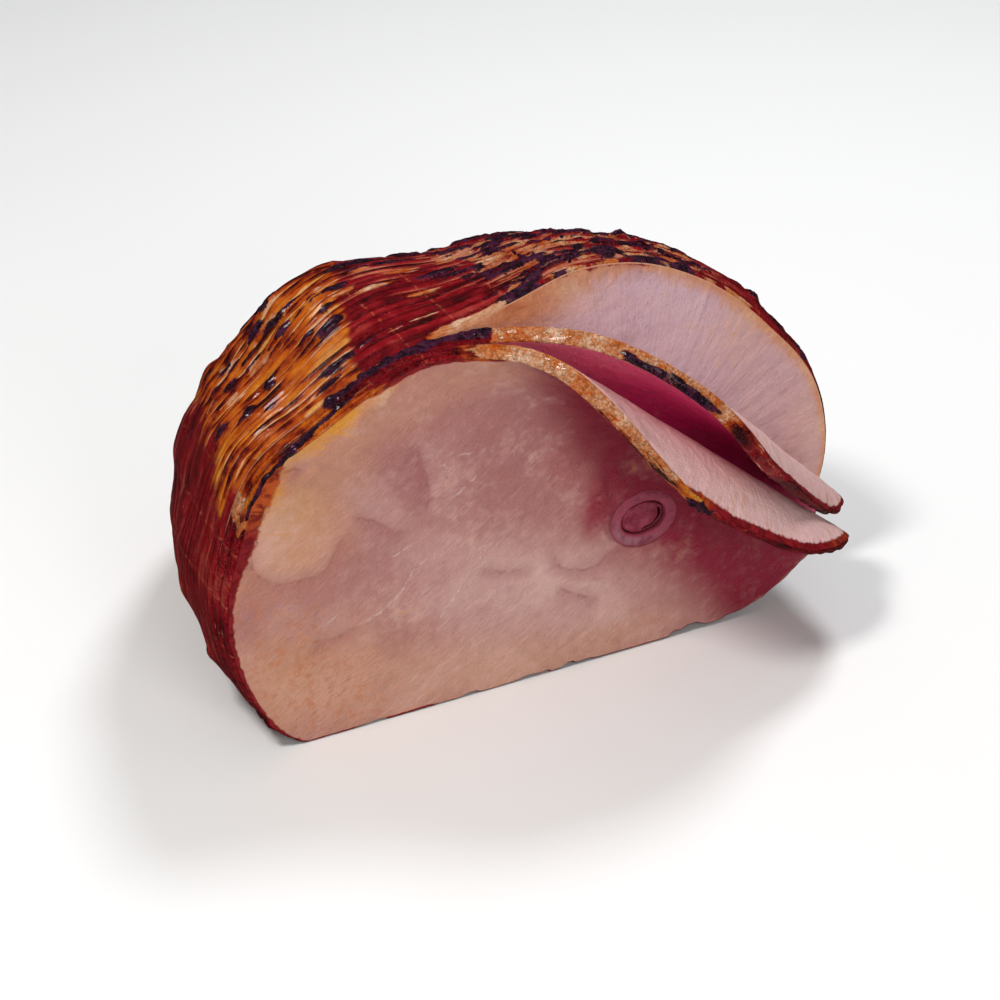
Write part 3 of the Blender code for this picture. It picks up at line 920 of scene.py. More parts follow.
def rim_bump(angle, a, w, distance, inward, z_edge, raw, char):
    """How far a slice's edge stands out, in metres.

    Swells, grain, burnt lumps and torn places fade inward from the rim, and above the table
    only.  Short stretches of the edge on the table are drawn in as notches.
    """
    thick = w * SLICE_THICK / MM
    out = distance / MM
    grains = lattice_noise(a / 1.3, thick / 1.3, out / 1.3, 53)
    lumps = np.abs(lattice_noise(a / 3.0, thick / 2.4, out / 2.4, 54))
    swell = sheet_noise(a / 14, 0.5, 55) + 0.5 * sheet_noise(a / 5, thick / 5, 56)
    torn = window(angle, -40, 50, 8) * sheet_noise(a / 2.6, thick / 5, 57)
    torn = torn + 1.6 * window(angle, 188, 222, 8) * sheet_noise(a / 4.2, thick / 6, 57)
    bump = 0.40 * swell + 0.32 * grains * (0.4 + raw) + 2.2 * rise(char, 0.4, 0.8) * lumps + 0.6 * torn
    above_table = rise(z_edge, 0.0, 0.006)
    bump = bump * above_table * np.exp(-((inward / 0.0016) ** 2))
    notch = sheet_noise(a / 7, 0.5, 59) + 0.5 * sheet_noise(a / 3, 0.5, 60)
    notch = rise(notch, -0.2, 0.8) * (1.0 - above_table) * np.exp(-((inward / 0.007) ** 2))
    return (bump - 2.4 * notch) * MM


def slice_marks(plan, angle, w, is_front, x, z, inward, palette):
    """Tones and masks over the two faces of a slice, by name."""
    is_first = bool(plan.seams)
    is_back = w > 0.5
    front_tone = blend_tones(x, z, plan.base, plan.tones, palette)
    back_tone = blend_tones(x, z, "rose", BACK_TONES, palette)
    # Painted shade: the first slice's front turns deep red under the flap and by the bone, and the
    # second slice's whole front counts as shaded.
    deep = painted_shade_share(x, z) if is_first else np.ones_like(x)
    if is_first:
        front_tone = front_tone + (np.array(palette["deep"]) - front_tone) * deep[..., None]
    sinew, sinew_near, _ = seam_fields(x, z, SINEWS if is_first else ())
    front_stripes = 0.9 * np.exp(-inward / 0.012) * window(angle, 60, 180, 12)
    low_left = rise(-x - 0.6 * z, 0.035, 0.065) * (1.0 - rise(z, 0.045, 0.075))
    fringe = 0.8 * np.exp(-inward / 0.010) * window(angle, 150, 200, 10)
    specks = 0.8 * np.exp(-inward / 0.008) * window(angle, -30, 50, 10)
    back_width = 0.0034 if is_first else 0.0019
    back_seep = 1.3 * np.exp(-((inward / back_width) ** 2)) * window(angle, -40, 48, 8)
    front_width = 0.0022 + 0.0032 * window(angle, 158, 176, 6) + 0.0006 * window(angle, 104, 190, 8)
    browned = 1.15 * (window(angle, 157, 236, 4) + window(angle, 104, 139, 4))
    front_seep = is_first * browned * np.exp(-((inward / front_width) ** 2))
    yolk = 1.25 * np.exp(-inward / 0.006) * window(angle, 140, 165, 4)
    return {
        "tone": np.where(is_back[..., None], back_tone, front_tone),
        "margin": face_margin(angle, inward, plan.margins),
        "striped": np.where(is_back, 1.0 - rise(inward, 0.030, 0.060), front_stripes),
        "deep": deep * is_front,
        "sinew": sinew,
        "sinew_near": sinew_near * is_front,
        "fleck": np.where(is_back, specks, np.clip(low_left + fringe, 0.0, 1.0)),
        "seep": np.where(is_back, back_seep, front_seep),
        "yolk": is_first * yolk * is_front,
    }


def gristle_lift(x, z):
    """Height of the gristle's lumps: each is a bell with a flat top."""
    lift = np.zeros_like(x)
    for lump_x, lump_z, radius, tall in GRISTLE:
        aside = np.hypot(x / MM - lump_x, z / MM - lump_z) / radius
        lift = lift + tall * MM * np.exp(-(aside**3))
    return lift


def folded(x, z, through, front, fold):
    """Folded points of a slice, moved through it along the folded surface's own normal."""
    step = 0.2 * MM
    toward_x = fold_points(x + step, z, front, fold) - fold_points(x - step, z, front, fold)
    toward_z = fold_points(x, z + step, front, fold) - fold_points(x, z - step, front, fold)
    normal = np.cross(toward_z, toward_x)
    normal /= np.linalg.norm(normal, axis=-1, keepdims=True)
    points = fold_points(x, z, front, fold) + normal * through[..., None]
    points[..., 2] = np.maximum(points[..., 2], 0.0)
    return points


def slice_piece(plan, palette, materials):
    """A slice: a closed grid that runs out over its front, round the rim and back to the bone.

    Each point has flat coordinates on the slice and a place w through its thickness.  The flat
    point is carried by the fold, and w moves it along the folded surface's own normal.
    """
    angle, along, x_edge, z_edge, x_hole, z_hole = slice_columns(plan.fold)
    w, share, out, on_rim = slice_rows()
    reach = np.hypot(x_edge - x_hole, z_edge - z_hole)
    distance = (reach - SLICE_CORNER) * share + out
    a = along[None, :-1] / MM
    raw, amber, gold, char = (np.clip(mask, 0.0, 1.2) for mask in plan.rim_masks(angle, w, a))
    distance = distance + rim_bump(angle, a, w, distance, reach - distance, z_edge, raw, char)
    x = x_hole + (x_edge - x_hole) / reach * distance
    z = np.maximum(z_hole + (z_edge - z_hole) / reach * distance, 0.0)
    inward = np.maximum(reach - distance, 0.0)

    is_front = (w < 0.5) * (1.0 - on_rim)
    signed, near, across = seam_fields(x, z, plan.seams)
    near = near * (w < 0.5)
    fade = rise(inward, 0.0, 0.005) * rise(distance, 0.0, 0.004) * (1.0 - on_rim)
    lift = face_relief(x, z, near) * fade
    if plan.seams:
        lift = lift + gristle_lift(x, z) * (w < 0.5)
    through = w * SLICE_THICK + np.where(w > 0.5, np.minimum(lift, BACK_RELIEF), -lift)
    points = folded(x, z, through, plan.front, plan.fold)

    flat = together(with_seam(x), with_seam(z))
    rim = together(along[None, :], w * SLICE_THICK)
    patterns = {
        "pattern": np.where(on_rim[..., None] > 0.5, rim, flat),
        "rays": together(along[None, :], with_seam(inward)),
    }
    marks = slice_marks(plan, angle, w, is_front, x, z, inward, palette)
    marks.update({
        "seam": signed,
        "seam_near": near,
        "step_up": np.maximum(across, 0.0) * is_front,
        "step_down": np.maximum(-across, 0.0) * is_front,
    })
    rim_marks = {
        "char": char, "amber": amber, "raw": raw, "gold": gold, "phase": 0.5, "pale": 0.0, "grainy": 1.0}
    marks.update({key: np.broadcast_to(value, x.shape) for key, value in rim_marks.items()})
    # The rind's material is on the rim, from the front's last row on.
    slots = (1 - on_rim[:, 0]).astype(int)
    slots[FRONT_ROWS - 1] = 0
    return build_mesh("cut_" + plan.node, points, patterns, marks, slots, materials, None)


def oval_ring(inset, depth, turn):
    """Points of the bone's oval at an inset from its outer wall, at a depth."""
    x = BONE_X + (BONE_WIDE / 2 - inset) * np.cos(turn)
    z = BONE_Z + (BONE_TALL / 2 - inset) * np.sin(turn)
    return together(x, depth, z)


def bone_piece(materials):
    """The sawn bone: a tube whose profile runs in along the outside, over a worn lip and back."""
    turn = np.linspace(2 * np.pi, 0.0, BONE_COLUMNS + 1)[None, :-1]
    lip = np.radians(np.linspace(-80.0, 80.0, 15))
    wall_depth = np.array([BONE_LENGTH, 0.05, 0.012, 0.004, 0.0018])
    half = BONE_WALL / 2
    lip_inset = half + half * np.sign(lip) * np.abs(np.sin(lip)) ** 0.7
    lip_depth = 0.9 * MM * (1.0 - np.abs(np.cos(lip)) ** 0.6)
    outside = np.zeros(len(wall_depth))
    inset = np.concatenate([outside, lip_inset, outside + BONE_WALL])[:, None]
    depth = np.concatenate([wall_depth, lip_depth, wall_depth[::-1]])[:, None]
    around = turn / (2 * np.pi) * BONE_GIRTH / MM
    middle = np.exp(-(((inset - half) / (0.8 * half)) ** 2)) * (depth < 0.0015)
    rough = sheet_noise(around / 5, inset / MM / 2, 61)
    rough = rough + 0.5 * sheet_noise(around / 1.3, inset / MM / 1.1, 62)
    depth = depth - 0.35 * MM * middle * (0.6 + rough)
    wobble = 0.25 * MM * sheet_noise(around / 7, 0.5, 63) * (inset > half)
    points = oval_ring(inset + wobble, depth, turn)
    across = np.concatenate([around, [[0.0]]], axis=1) * MM
    pattern = together(across, inset)
    # The lip mask is the pale sawn top of the wall, with a painted highlight that makes it strongest
    # round the lower left of the ring.
    painted_highlight = 0.30 + 0.75 * np.exp(-(((turn - np.radians(235.0)) / 0.95) ** 2))
    marks = {"lip": np.broadcast_to(middle * painted_highlight, points.shape[:2])}
    slots = np.zeros(len(points), int)
    return build_mesh("sawn_bone", points, {"pattern": pattern}, marks, slots, materials, None)


def marrow_piece(materials):
    """The marrow: a plug with a lumpy, slightly sunk face and a crescent-shaped gap at one side, which
    is painted dark as shade.
    """
    turn = np.linspace(0.0, 2 * np.pi, MARROW_COLUMNS + 1)[None, :-1]
    outer = BONE_WALL + 0.25 * MM + GAP
    share = np.linspace(0.03, 1.0, MARROW_ROWS)[:, None]
    x = (BONE_WIDE / 2 - outer) * share * np.cos(turn)
    z = (BONE_TALL / 2 - outer) * share * np.sin(turn)
    toward = np.cos(turn - np.radians(-32.0))
    crescent = np.exp(-(((share - 0.86) / 0.09) ** 2)) * rise(toward, 0.25, 0.9)
    lumps = sheet_noise(x / MM / 3.2, z / MM / 3.2, 71)
    lumps = lumps + 0.6 * sheet_noise(x / MM / 1.3, z / MM / 1.3, 72)
    depth = 0.9 * MM - 0.35 * MM * lumps * (1.0 - share**6) + 2.2 * MM * crescent
    depth = depth + 0.8 * MM * rise(share, 0.93, 1.0)
    face = np.stack([BONE_X + x, depth, BONE_Z + z], axis=-1)
    wall_depth = np.array([0.004, 0.03, BONE_LENGTH])[:, None]
    points = np.concatenate([face, oval_ring(outer, wall_depth, turn)])
    around = np.concatenate([turn, [[2 * np.pi]]], axis=1) * MARROW_RADIUS
    run = MARROW_RADIUS * share[:, 0]
    run = np.concatenate([run, MARROW_RADIUS + wall_depth[:, 0]])[:, None]
    pattern = together(around, run)
    # Mask of the painted shade in the sunken crescent.
    gap = np.concatenate([crescent * np.ones_like(x), np.zeros((len(wall_depth), MARROW_COLUMNS))])
    ends = ((BONE_X, 0.8 * MM, BONE_Z), (BONE_X, BONE_LENGTH, BONE_Z))
    slots = np.zeros(len(points), int)
    return build_mesh("bone_marrow", points, {"pattern": pattern}, {"gap": gap}, slots, materials, ends)


class Net:
    """Short calls that add nodes to a node tree and link them."""

    def __init__(self, tree):
        self.tree = tree
        self.count = 0

    def add(self, kind, feeds=None, **settings):
        """A new node with its inputs fed and its settings made, in the next place of the layout."""
        node = self.tree.nodes.new(kind)
        self.count += 1
        node.location = (self.count % 12 * 190, -(self.count // 12) * 260)
        for key, value in settings.items():
            setattr(node, key, value)
        for key, value in (feeds or {}).items():
            self.feed(node.inputs[key], value)
        return node

    def feed(self, socket, value):
        """Link another node's output to a socket, or set the socket to a plain value."""
        if isinstance(value, bpy.types.NodeSocket):
            self.tree.links.new(value, socket)
        else:
            socket.default_value = value

    def math(self, operation, a, b=0.0, c=0.0):
        return self.add("ShaderNodeMath", {0: a, 1: b, 2: c}, operation=operation).outputs[0]

    def times(self, a, b):
        return self.math("MULTIPLY", a, b)

    def plus(self, base, value, amount):
        """The base plus an amount of a value."""
        return self.math("MULTIPLY_ADD", value, amount, base)

    def nudge(self, base, noise, amount):
        """The base plus an amount of a noise, counted from the noise's middle."""
        return self.plus(base, self.math("SUBTRACT", noise, 0.5), amount)

    def mix(self, factor, a, b):
        """From colour a at factor 0 to colour b at factor 1."""
        node = self.add("ShaderNodeMix", {0: factor}, data_type="RGBA")
        for key, colour in ((6, a), (7, b)):
            self.feed(node.inputs[key], (*colour, 1.0) if isinstance(colour, tuple) else colour)
        return node.outputs[2]

    def smooth(self, value, low, high, start=0.0, end=1.0):
        """A smooth change from start, where the value is low, to end, where it is high."""
        feeds = dict(enumerate((value, low, high, start, end)))
        return self.add("ShaderNodeMapRange", feeds, interpolation_type="SMOOTHSTEP").outputs[0]

    def noise(self, vector, scale, detail=4.0, roughness=0.55, distortion=0.0):
        feeds = {
            "Vector": vector, "Scale": scale, "Detail": detail, "Roughness": roughness,
            "Distortion": distortion}
        return self.add("ShaderNodeTexNoise", feeds).outputs["Fac"]

    def stretch(self, vector, scale, turn=0.0):
        """Coordinates turned about Z and then scaled."""
        inner = self.add("ShaderNodeMapping", {"Vector": vector}, vector_type="POINT")
        inner.inputs["Rotation"].default_value = (0.0, 0.0, turn)
        outer = self.add("ShaderNodeMapping", {"Vector": inner.outputs[0]}, vector_type="POINT")
        outer.inputs["Scale"].default_value = scale
        return outer.outputs[0]

    def ramp(self, factor, *stops):
        """A colour ramp through stops of (place, colour)."""
        node = self.add("ShaderNodeValToRGB", {"Fac": factor})
        ramp = node.color_ramp
        while len(ramp.elements) < len(stops):
            ramp.elements.new(0.5)
        for element, (place, colour) in zip(ramp.elements, stops):
            element.position = place
            element.color = (*colour, 1.0)
        return node.outputs["Color"]

    def mark(self, name, output="Fac"):
        """One of the piece's masks, or with the output Color one of its tones."""
        return self.add("ShaderNodeAttribute", attribute_name=name).outputs[output]

    def layout(self, name):
        """One of the piece's own maps of two coordinates."""
        return self.add("ShaderNodeUVMap", uv_map=name).outputs["UV"]

    def position(self):
        return self.add("ShaderNodeTexCoord").outputs["Object"]

    def group(self, tree, feeds):
        return self.add("ShaderNodeGroup", feeds, node_tree=tree).outputs

    def ragged(self, name, noise, spread, level, softness):
        """The piece's mask of that name, cut at a level with a ragged edge."""
        return self.group(ragged_group(), {
            "Field": self.mark(name), "Noise": noise, "Spread": spread, "Level": level,
            "Softness": softness})[0]

    def grain(self, vector, size):
        return self.group(grain_group(), {"Vector": vector, "Size": size})

    def bump(self, height, distance):
        return self.add("ShaderNodeBump", {"Height": height, "Distance": distance}).outputs["Normal"]


def new_group(name, inputs, outputs):
    """An empty node group with named float or vector inputs and float outputs."""
    tree = bpy.data.node_groups.new(name, "ShaderNodeTree")
    for socket, kind in inputs:
        tree.interface.new_socket(socket, in_out="INPUT", socket_type=kind)
    for socket in outputs:
        tree.interface.new_socket(socket, in_out="OUTPUT", socket_type="NodeSocketFloat")
    net = Net(tree)
    return net, net.add("NodeGroupInput").outputs, net.add("NodeGroupOutput").inputs


def ragged_group():
    """A mask with a ragged edge: a smooth field plus noise, cut at a level."""
    name = "ragged edge"
    if name in bpy.data.node_groups:
        return bpy.data.node_groups[name]
    inputs = [(key, "NodeSocketFloat") for key in ("Field", "Noise", "Spread", "Level", "Softness")]
    net, source, sink = new_group(name, inputs, ["Mask"])
    field = net.nudge(source["Field"], source["Noise"], source["Spread"])
    low = net.math("SUBTRACT", source["Level"], source["Softness"])
    high = net.math("ADD", source["Level"], source["Softness"])
    net.feed(sink["Mask"], net.smooth(field, low, high))
    return net.tree


def grain_group():
    """Fine uneven grain on a wet surface: soft dimples and small beads, as heights from 0 to 1."""
    name = "wet grain"
    if name in bpy.data.node_groups:
        return bpy.data.node_groups[name]
    inputs = [("Vector", "NodeSocketVector"), ("Size", "NodeSocketFloat")]
    net, source, sink = new_group(name, inputs, ["Fine", "Coarse", "Beads"])
    per_metre = net.math("DIVIDE", 1.0, source["Size"])
    net.feed(sink["Fine"], net.noise(source["Vector"], per_metre, 5.0, 0.6))
    net.feed(sink["Coarse"], net.noise(source["Vector"], net.times(per_metre, 0.22), 3.0, 0.5))
    cell_feeds = {"Vector": source["Vector"], "Scale": net.times(per_metre, 0.55)}
    cells = net.add("ShaderNodeTexVoronoi", cell_feeds)
    net.feed(sink["Beads"], net.smooth(cells.outputs["Distance"], 0.55, 0.05))
    return net.tree


def new_material(name, roughness, coat, coat_roughness, specular):
    """A material with one Principled shader; what is the same everywhere is set on its sockets."""
    material = bpy.data.materials.new(name)
    material.use_nodes = True
    shader = material.node_tree.nodes["Principled BSDF"]
    shader.inputs["Roughness"].default_value = roughness
    shader.inputs["Coat Weight"].default_value = coat
    shader.inputs["Coat Roughness"].default_value = coat_roughness
    shader.inputs["Specular IOR Level"].default_value = specular
    return material, Net(material.node_tree), shader.inputs


def rind_material(colours):
    """Glazed rind: amber or mahogany bands, bare lines or painted shade in their grooves, tan places and
    crust.
    """
    material, net, shader = new_material("glazed_rind", 0.3, 0.15, 0.05, 0.22)
    pattern = net.layout("pattern")
    position = net.position()
    grain = net.grain(position, 0.8 * MM)
    streaks = net.noise(net.stretch(pattern, (40.0, 310.0, 1.0)), 1.0, 6.0, 0.62)
    fine_streaks = net.noise(net.stretch(pattern, (150.0, 800.0, 1.0)), 1.0, 4.0, 0.6)
    blotches = net.noise(position, 120.0, 5.0, 0.62)

    # Distance from the groove in parts of a band, and one random tone for each band.
    phase = net.nudge(net.mark("phase"), fine_streaks, 0.30)
    away = net.math("ABSOLUTE", net.math("SUBTRACT", phase, net.math("ROUND", phase)))
    band = net.math("FLOOR", net.mark("phase"))
    place = net.add("ShaderNodeSeparateXYZ", {0: pattern}).outputs
    band_place = {0: net.times(place[0], 42.0), 1: net.times(band, 5.7)}
    band_noise = net.noise(net.add("ShaderNodeCombineXYZ", band_place).outputs[0], 1.0, 2.0)
    tone = net.nudge(streaks, band_noise, 0.8)

    amber_tone = net.nudge(net.plus(tone, net.mark("gold"), 0.22), blotches, 0.7)
    amber_tone = net.plus(amber_tone, net.math("SUBTRACT", 0.30, away), 0.55)
    amber = net.ramp(
        amber_tone, (0.36, colours.deep_red), (0.46, colours.red_brown), (0.57, colours.orange),
        (0.73, colours.gold), (0.89, colours.honey))
    red_tone = net.nudge(net.plus(tone, net.mark("gold"), 0.16), blotches, 0.7)
    maroon = net.ramp(
        red_tone, (0.30, colours.deep_red), (0.46, colours.maroon), (0.62, colours.red),
        (0.82, colours.rose_red))
    maroon = net.mix(net.times(net.mark("gold"), 0.6), maroon, colours.blood)
    tan = net.ramp(
        net.nudge(blotches, fine_streaks, 0.8), (0.28, colours.red_brown), (0.40, colours.orange),
        (0.48, colours.orange_tan), (0.57, colours.tan), (0.74, colours.cream))
    wet_tan = net.ramp(
        net.nudge(blotches, grain["Fine"], 0.9), (0.28, colours.orange), (0.46, colours.orange_tan),
        (0.59, colours.tan), (0.74, colours.cream))
    tan = net.mix(net.mark("grainy"), tan, wet_tan)

    # Thin pale scores cross the mahogany bands.
    score = net.math("FRACT", net.plus(net.times(place[0], 58.0), blotches, 0.22))
    score = net.math("ABSOLUTE", net.math("SUBTRACT", score, 0.5))
    score = net.times(net.smooth(score, 0.470, 0.495), net.smooth(streaks, 0.42, 0.60, 0.0, 0.5))
    maroon = net.mix(score, maroon, colours.crack)
    zone = net.ragged("amber", blotches, 0.7, 0.5, 0.34)
    colour = net.mix(zone, maroon, amber)
    raw = net.ragged("raw", net.nudge(streaks, fine_streaks, 0.6), 1.5, 0.54, 0.08)
    colour = net.mix(raw, colour, tan)

    # Grooves: a bare line with a glow beside it, or, where there is none, a dark line of painted shade
    # in the groove.
    pale = net.mark("pale")
    beside = net.math("SUBTRACT", away, pale)
    has_line = net.smooth(pale, 0.0, 0.05)
    glow = net.times(net.smooth(beside, 0.20, 0.02), has_line)
    groove_shade = net.times(net.smooth(away, 0.16, 0.04), net.math("SUBTRACT", 1.0, has_line))
    line = net.times(net.smooth(beside, 0.025, -0.025), has_line)
    cream_part = net.times(net.smooth(blotches, 0.40, 0.62), net.plus(0.2, zone, 0.6))
    crack = net.mix(cream_part, net.mix(zone, colours.crack, colours.honey), colours.cream)
    colour = net.mix(net.times(groove_shade, 0.6), colour, net.mix(zone, colours.deep_red, colours.red_brown))
    colour = net.mix(net.times(glow, 0.55), colour, net.mix(zone, colours.rose_red, colours.orange))
    colour = net.mix(net.times(line, 0.9), colour, crack)

    char = net.ragged("char", net.nudge(fine_streaks, grain["Fine"], 0.6), 1.1, 0.52, 0.09)
    burnt = net.mix(net.smooth(grain["Coarse"], 0.42, 0.60), colours.char, colours.char_violet)
    net.feed(shader["Base Color"], net.mix(char, colour, burnt))
    rough = net.smooth(blotches, 0.35, 0.68, 0.13, 0.28)
    net.feed(shader["Roughness"], net.plus(rough, char, 0.05))
    height = net.plus(net.times(grain["Fine"], 0.5), grain["Coarse"], 0.9)
    height = net.plus(height, fine_streaks, 0.4)
    rough_part = net.math("MAXIMUM", char, net.times(net.mark("grainy"), 0.8))
    height = net.plus(height, net.times(rough_part, grain["Beads"]), 0.6)
    net.feed(shader["Normal"], net.bump(height, 1.8 * MM))
    return material


def meat_material(colours):
    """Cut ham: broad tones from the piece with its painted shade, fine fibres, pale sinew, seams and a
    fat margin.
    """
    material, net, shader = new_material("cut_ham", 0.46, 0.0, 0.2, 0.32)
    pattern = net.layout("pattern")
    rays = net.layout("rays")
    grain = net.grain(net.position(), 0.9 * MM)
    fibres = net.noise(net.stretch(pattern, (190.0, 760.0, 1.0), FIBRE_TURN), 1.0, 6.0, 0.65, 1.1)
    stripes = net.noise(net.stretch(rays, (430.0, 48.0, 1.0)), 1.0, 5.0, 0.62, 0.3)
    broad_stripes = net.noise(net.stretch(rays, (170.0, 22.0, 1.0)), 1.0, 3.0, 0.5, 0.4)
    stripes = net.nudge(stripes, broad_stripes, 0.7)
    broad = net.noise(pattern, 45.0, 5.0, 0.58)
    mottle = net.noise(pattern, 300.0, 5.0, 0.62)
    # The "deep" mark is painted shade: pale grain, sinews and spots fade in it, and mauve patches show
    # in it.
    deep = net.mark("deep")
    outside_painted_shade = net.plus(1.0, deep, -0.85)

    # Fibres of the open face, or stripes that run in from the rim.
    lines = net.add("ShaderNodeMix", {0: net.mark("striped"), 2: fibres, 3: stripes}, data_type="FLOAT")
    line_tone = lines.outputs[0]
    colour = net.mark("tone", "Color")
    shade = net.nudge(net.nudge(broad, line_tone, 0.36), mottle, 0.62)
    low = net.times(net.smooth(shade, 0.52, 0.24), 0.52)
    high = net.times(net.times(net.smooth(shade, 0.45, 0.80), 0.58), outside_painted_shade)
    colour = net.mix(low, colour, net.mix(0.5, colour, colours.meat_low))
    colour = net.mix(high, colour, colours.meat_pale)
    in_painted_shade = net.times(deep, net.smooth(shade, 0.46, 0.76, 0.0, 0.15))
    colour = net.mix(in_painted_shade, colour, colours.meat_mauve)

    # Fat under the rind, its golden part, and orange flecks.
    margin_noise = net.nudge(broad, mottle, 0.6)
    margin = net.ragged("margin", margin_noise, 1.0, 0.45, 0.38)
    fat = net.ramp(
        margin_noise, (0.32, colours.orange_tan), (0.50, colours.fat_tan), (0.68, colours.fat_pale))
    colour = net.mix(net.times(margin, 0.85), colour, fat)
    yolk = net.ragged("yolk", net.nudge(broad, stripes, 0.9), 1.3, 0.5, 0.3)
    colour = net.mix(net.times(yolk, 0.92), colour, colours.meat_yolk)
    fleck = net.smooth(net.nudge(mottle, line_tone, 0.5), 0.44, 0.68)
    colour = net.mix(net.times(net.times(fleck, net.mark("fleck")), 0.56), colour, colours.orange_tan)

    # Thin sinews: random ones along the fibres, and those that are drawn on the piece.
    sinew = net.noise(net.stretch(pattern, (55.0, 1000.0, 1.0), SINEW_TURN), 1.0, 2.0, 0.5, 0.6)
    sinew_on = net.smooth(net.noise(pattern, 55.0, 3.0), 0.53, 0.64)
    sinew = net.times(net.smooth(sinew, 0.65, 0.71), sinew_on)
    sinew = net.times(net.times(sinew, outside_painted_shade), 0.45)
    wander = net.times(net.math("SUBTRACT", mottle, 0.5), 4.2 * MM)
    drawn = net.math("ABSOLUTE", net.plus(net.mark("sinew"), wander, 0.8))
    drawn = net.times(net.smooth(drawn, 0.45 * MM, 0.10 * MM), net.mark("sinew_near"))
    drawn = net.times(drawn, net.smooth(mottle, 0.42, 0.60, 0.0, 0.6))
    colour = net.mix(net.math("MAXIMUM", sinew, drawn), colour, colours.sinew)

    # Seams between muscles: a step of tone, a broad shade and a thin dark line.
    colour = net.mix(net.times(net.mark("step_up"), 0.36), colour, colours.meat_pale)
    colour = net.mix(net.times(net.mark("step_down"), 0.34), colour, colours.seam_soft)
    seam = net.math("ABSOLUTE", net.math("ADD", net.mark("seam"), wander))
    near = net.mark("seam_near")
    dark_seam = net.times(net.smooth(seam, 0.9 * MM, 0.1 * MM), near)
    colour = net.mix(net.times(near, 0.26), colour, colours.seam_soft)
    seam_part = net.times(dark_seam, net.smooth(mottle, 0.40, 0.60, 0.0, 0.42))
    colour = net.mix(seam_part, colour, colours.seam)

    # Small spots, and glaze that has run in from the rim: red, or brown beside amber glaze.
    spots = net.smooth(net.noise(pattern, 600.0, 2.0, 0.5), 0.715, 0.76)
    colour = net.mix(net.times(net.times(spots, 0.5), outside_painted_shade), colour, colours.orange_tan)
    seep = net.ragged("seep", mottle, 0.9, 0.5, 0.12)
    seep_tone = net.smooth(net.nudge(line_tone, mottle, 1.2), 0.34, 0.62)
    brown = net.mix(seep_tone, colours.red_brown, colours.orange)
    red = net.mix(seep_tone, colours.maroon, colours.red)
    colour = net.mix(seep, colour, net.mix(net.mark("amber"), red, brown))
    net.feed(shader["Base Color"], colour)
    net.feed(shader["Roughness"], net.smooth(mottle, 0.35, 0.7, 0.28, 0.50))
    height = net.plus(net.times(grain["Fine"], 0.35), line_tone, 0.55)
    height = net.plus(height, grain["Coarse"], 0.8)
    net.feed(shader["Normal"], net.bump(height, 1.0 * MM))
    return material


def bone_material(colours):
    """Cooked bone: a pale, slightly greasy ring, pinker and darker at its rims, with a painted highlight
    that makes the pale lip strongest at the lower left.
    """
    material, net, shader = new_material("cooked_bone", 0.4, 0.08, 0.2, 0.25)
    grain = net.grain(net.position(), 0.7 * MM)
    pale = net.mix(net.smooth(grain["Coarse"], 0.35, 0.65), colours.bone, colours.bone_warm)
    lip = net.ragged("lip", grain["Coarse"], 0.8, 0.42, 0.3)
    net.feed(shader["Base Color"], net.mix(lip, colours.marrow_pink, pale))
    height = net.plus(grain["Fine"], grain["Coarse"], 0.8)
    net.feed(shader["Normal"], net.bump(height, 0.4 * MM))
    return material


def marrow_material(colours):
    """Marrow: dull red-pink jelly with paler lumps, and painted shade, nearly black, in the sunken gap
    beside it.
    """
    material, net, shader = new_material("red_marrow", 0.32, 0.12, 0.15, 0.3)
    grain = net.grain(net.position(), 0.8 * MM)
    colour = net.mix(net.smooth(grain["Coarse"], 0.36, 0.66), colours.marrow_red, colours.marrow_pink)
    gap = net.smooth(net.mark("gap"), 0.25, 0.65)
    net.feed(shader["Base Color"], net.mix(gap, colour, colours.deep_red))
    height = net.plus(net.times(grain["Fine"], 0.5), grain["Coarse"], 1.0)
    net.feed(shader["Normal"], net.bump(height, 0.8 * MM))
    return material


def size_field(name, description, default, low, high):
    return bpy.props.FloatProperty(
        name=name, description=description, default=default, min=low, max=high,
        subtype="DISTANCE", unit="LENGTH", precision=4)


def colour_field(name, description, default):
    return bpy.props.FloatVectorProperty(
        name=name, description=description, default=default, size=3, min=0.0, max=1.0, subtype="COLOR")


class HamSizes(bpy.types.PropertyGroup):
    """Sizes of the rind's bands and crust."""

    band_pitch: size_field(
        "Band pitch", "Distance from one groove of the rind to the next", 0.0034, 0.002, 0.008)
    band_height: size_field("Band height", "Relief of the bands", 0.00085, 0.0, 0.002)
    crust_height: size_field("Crust height", "How far burnt glaze stands up", 0.0008, 0.0, 0.003)


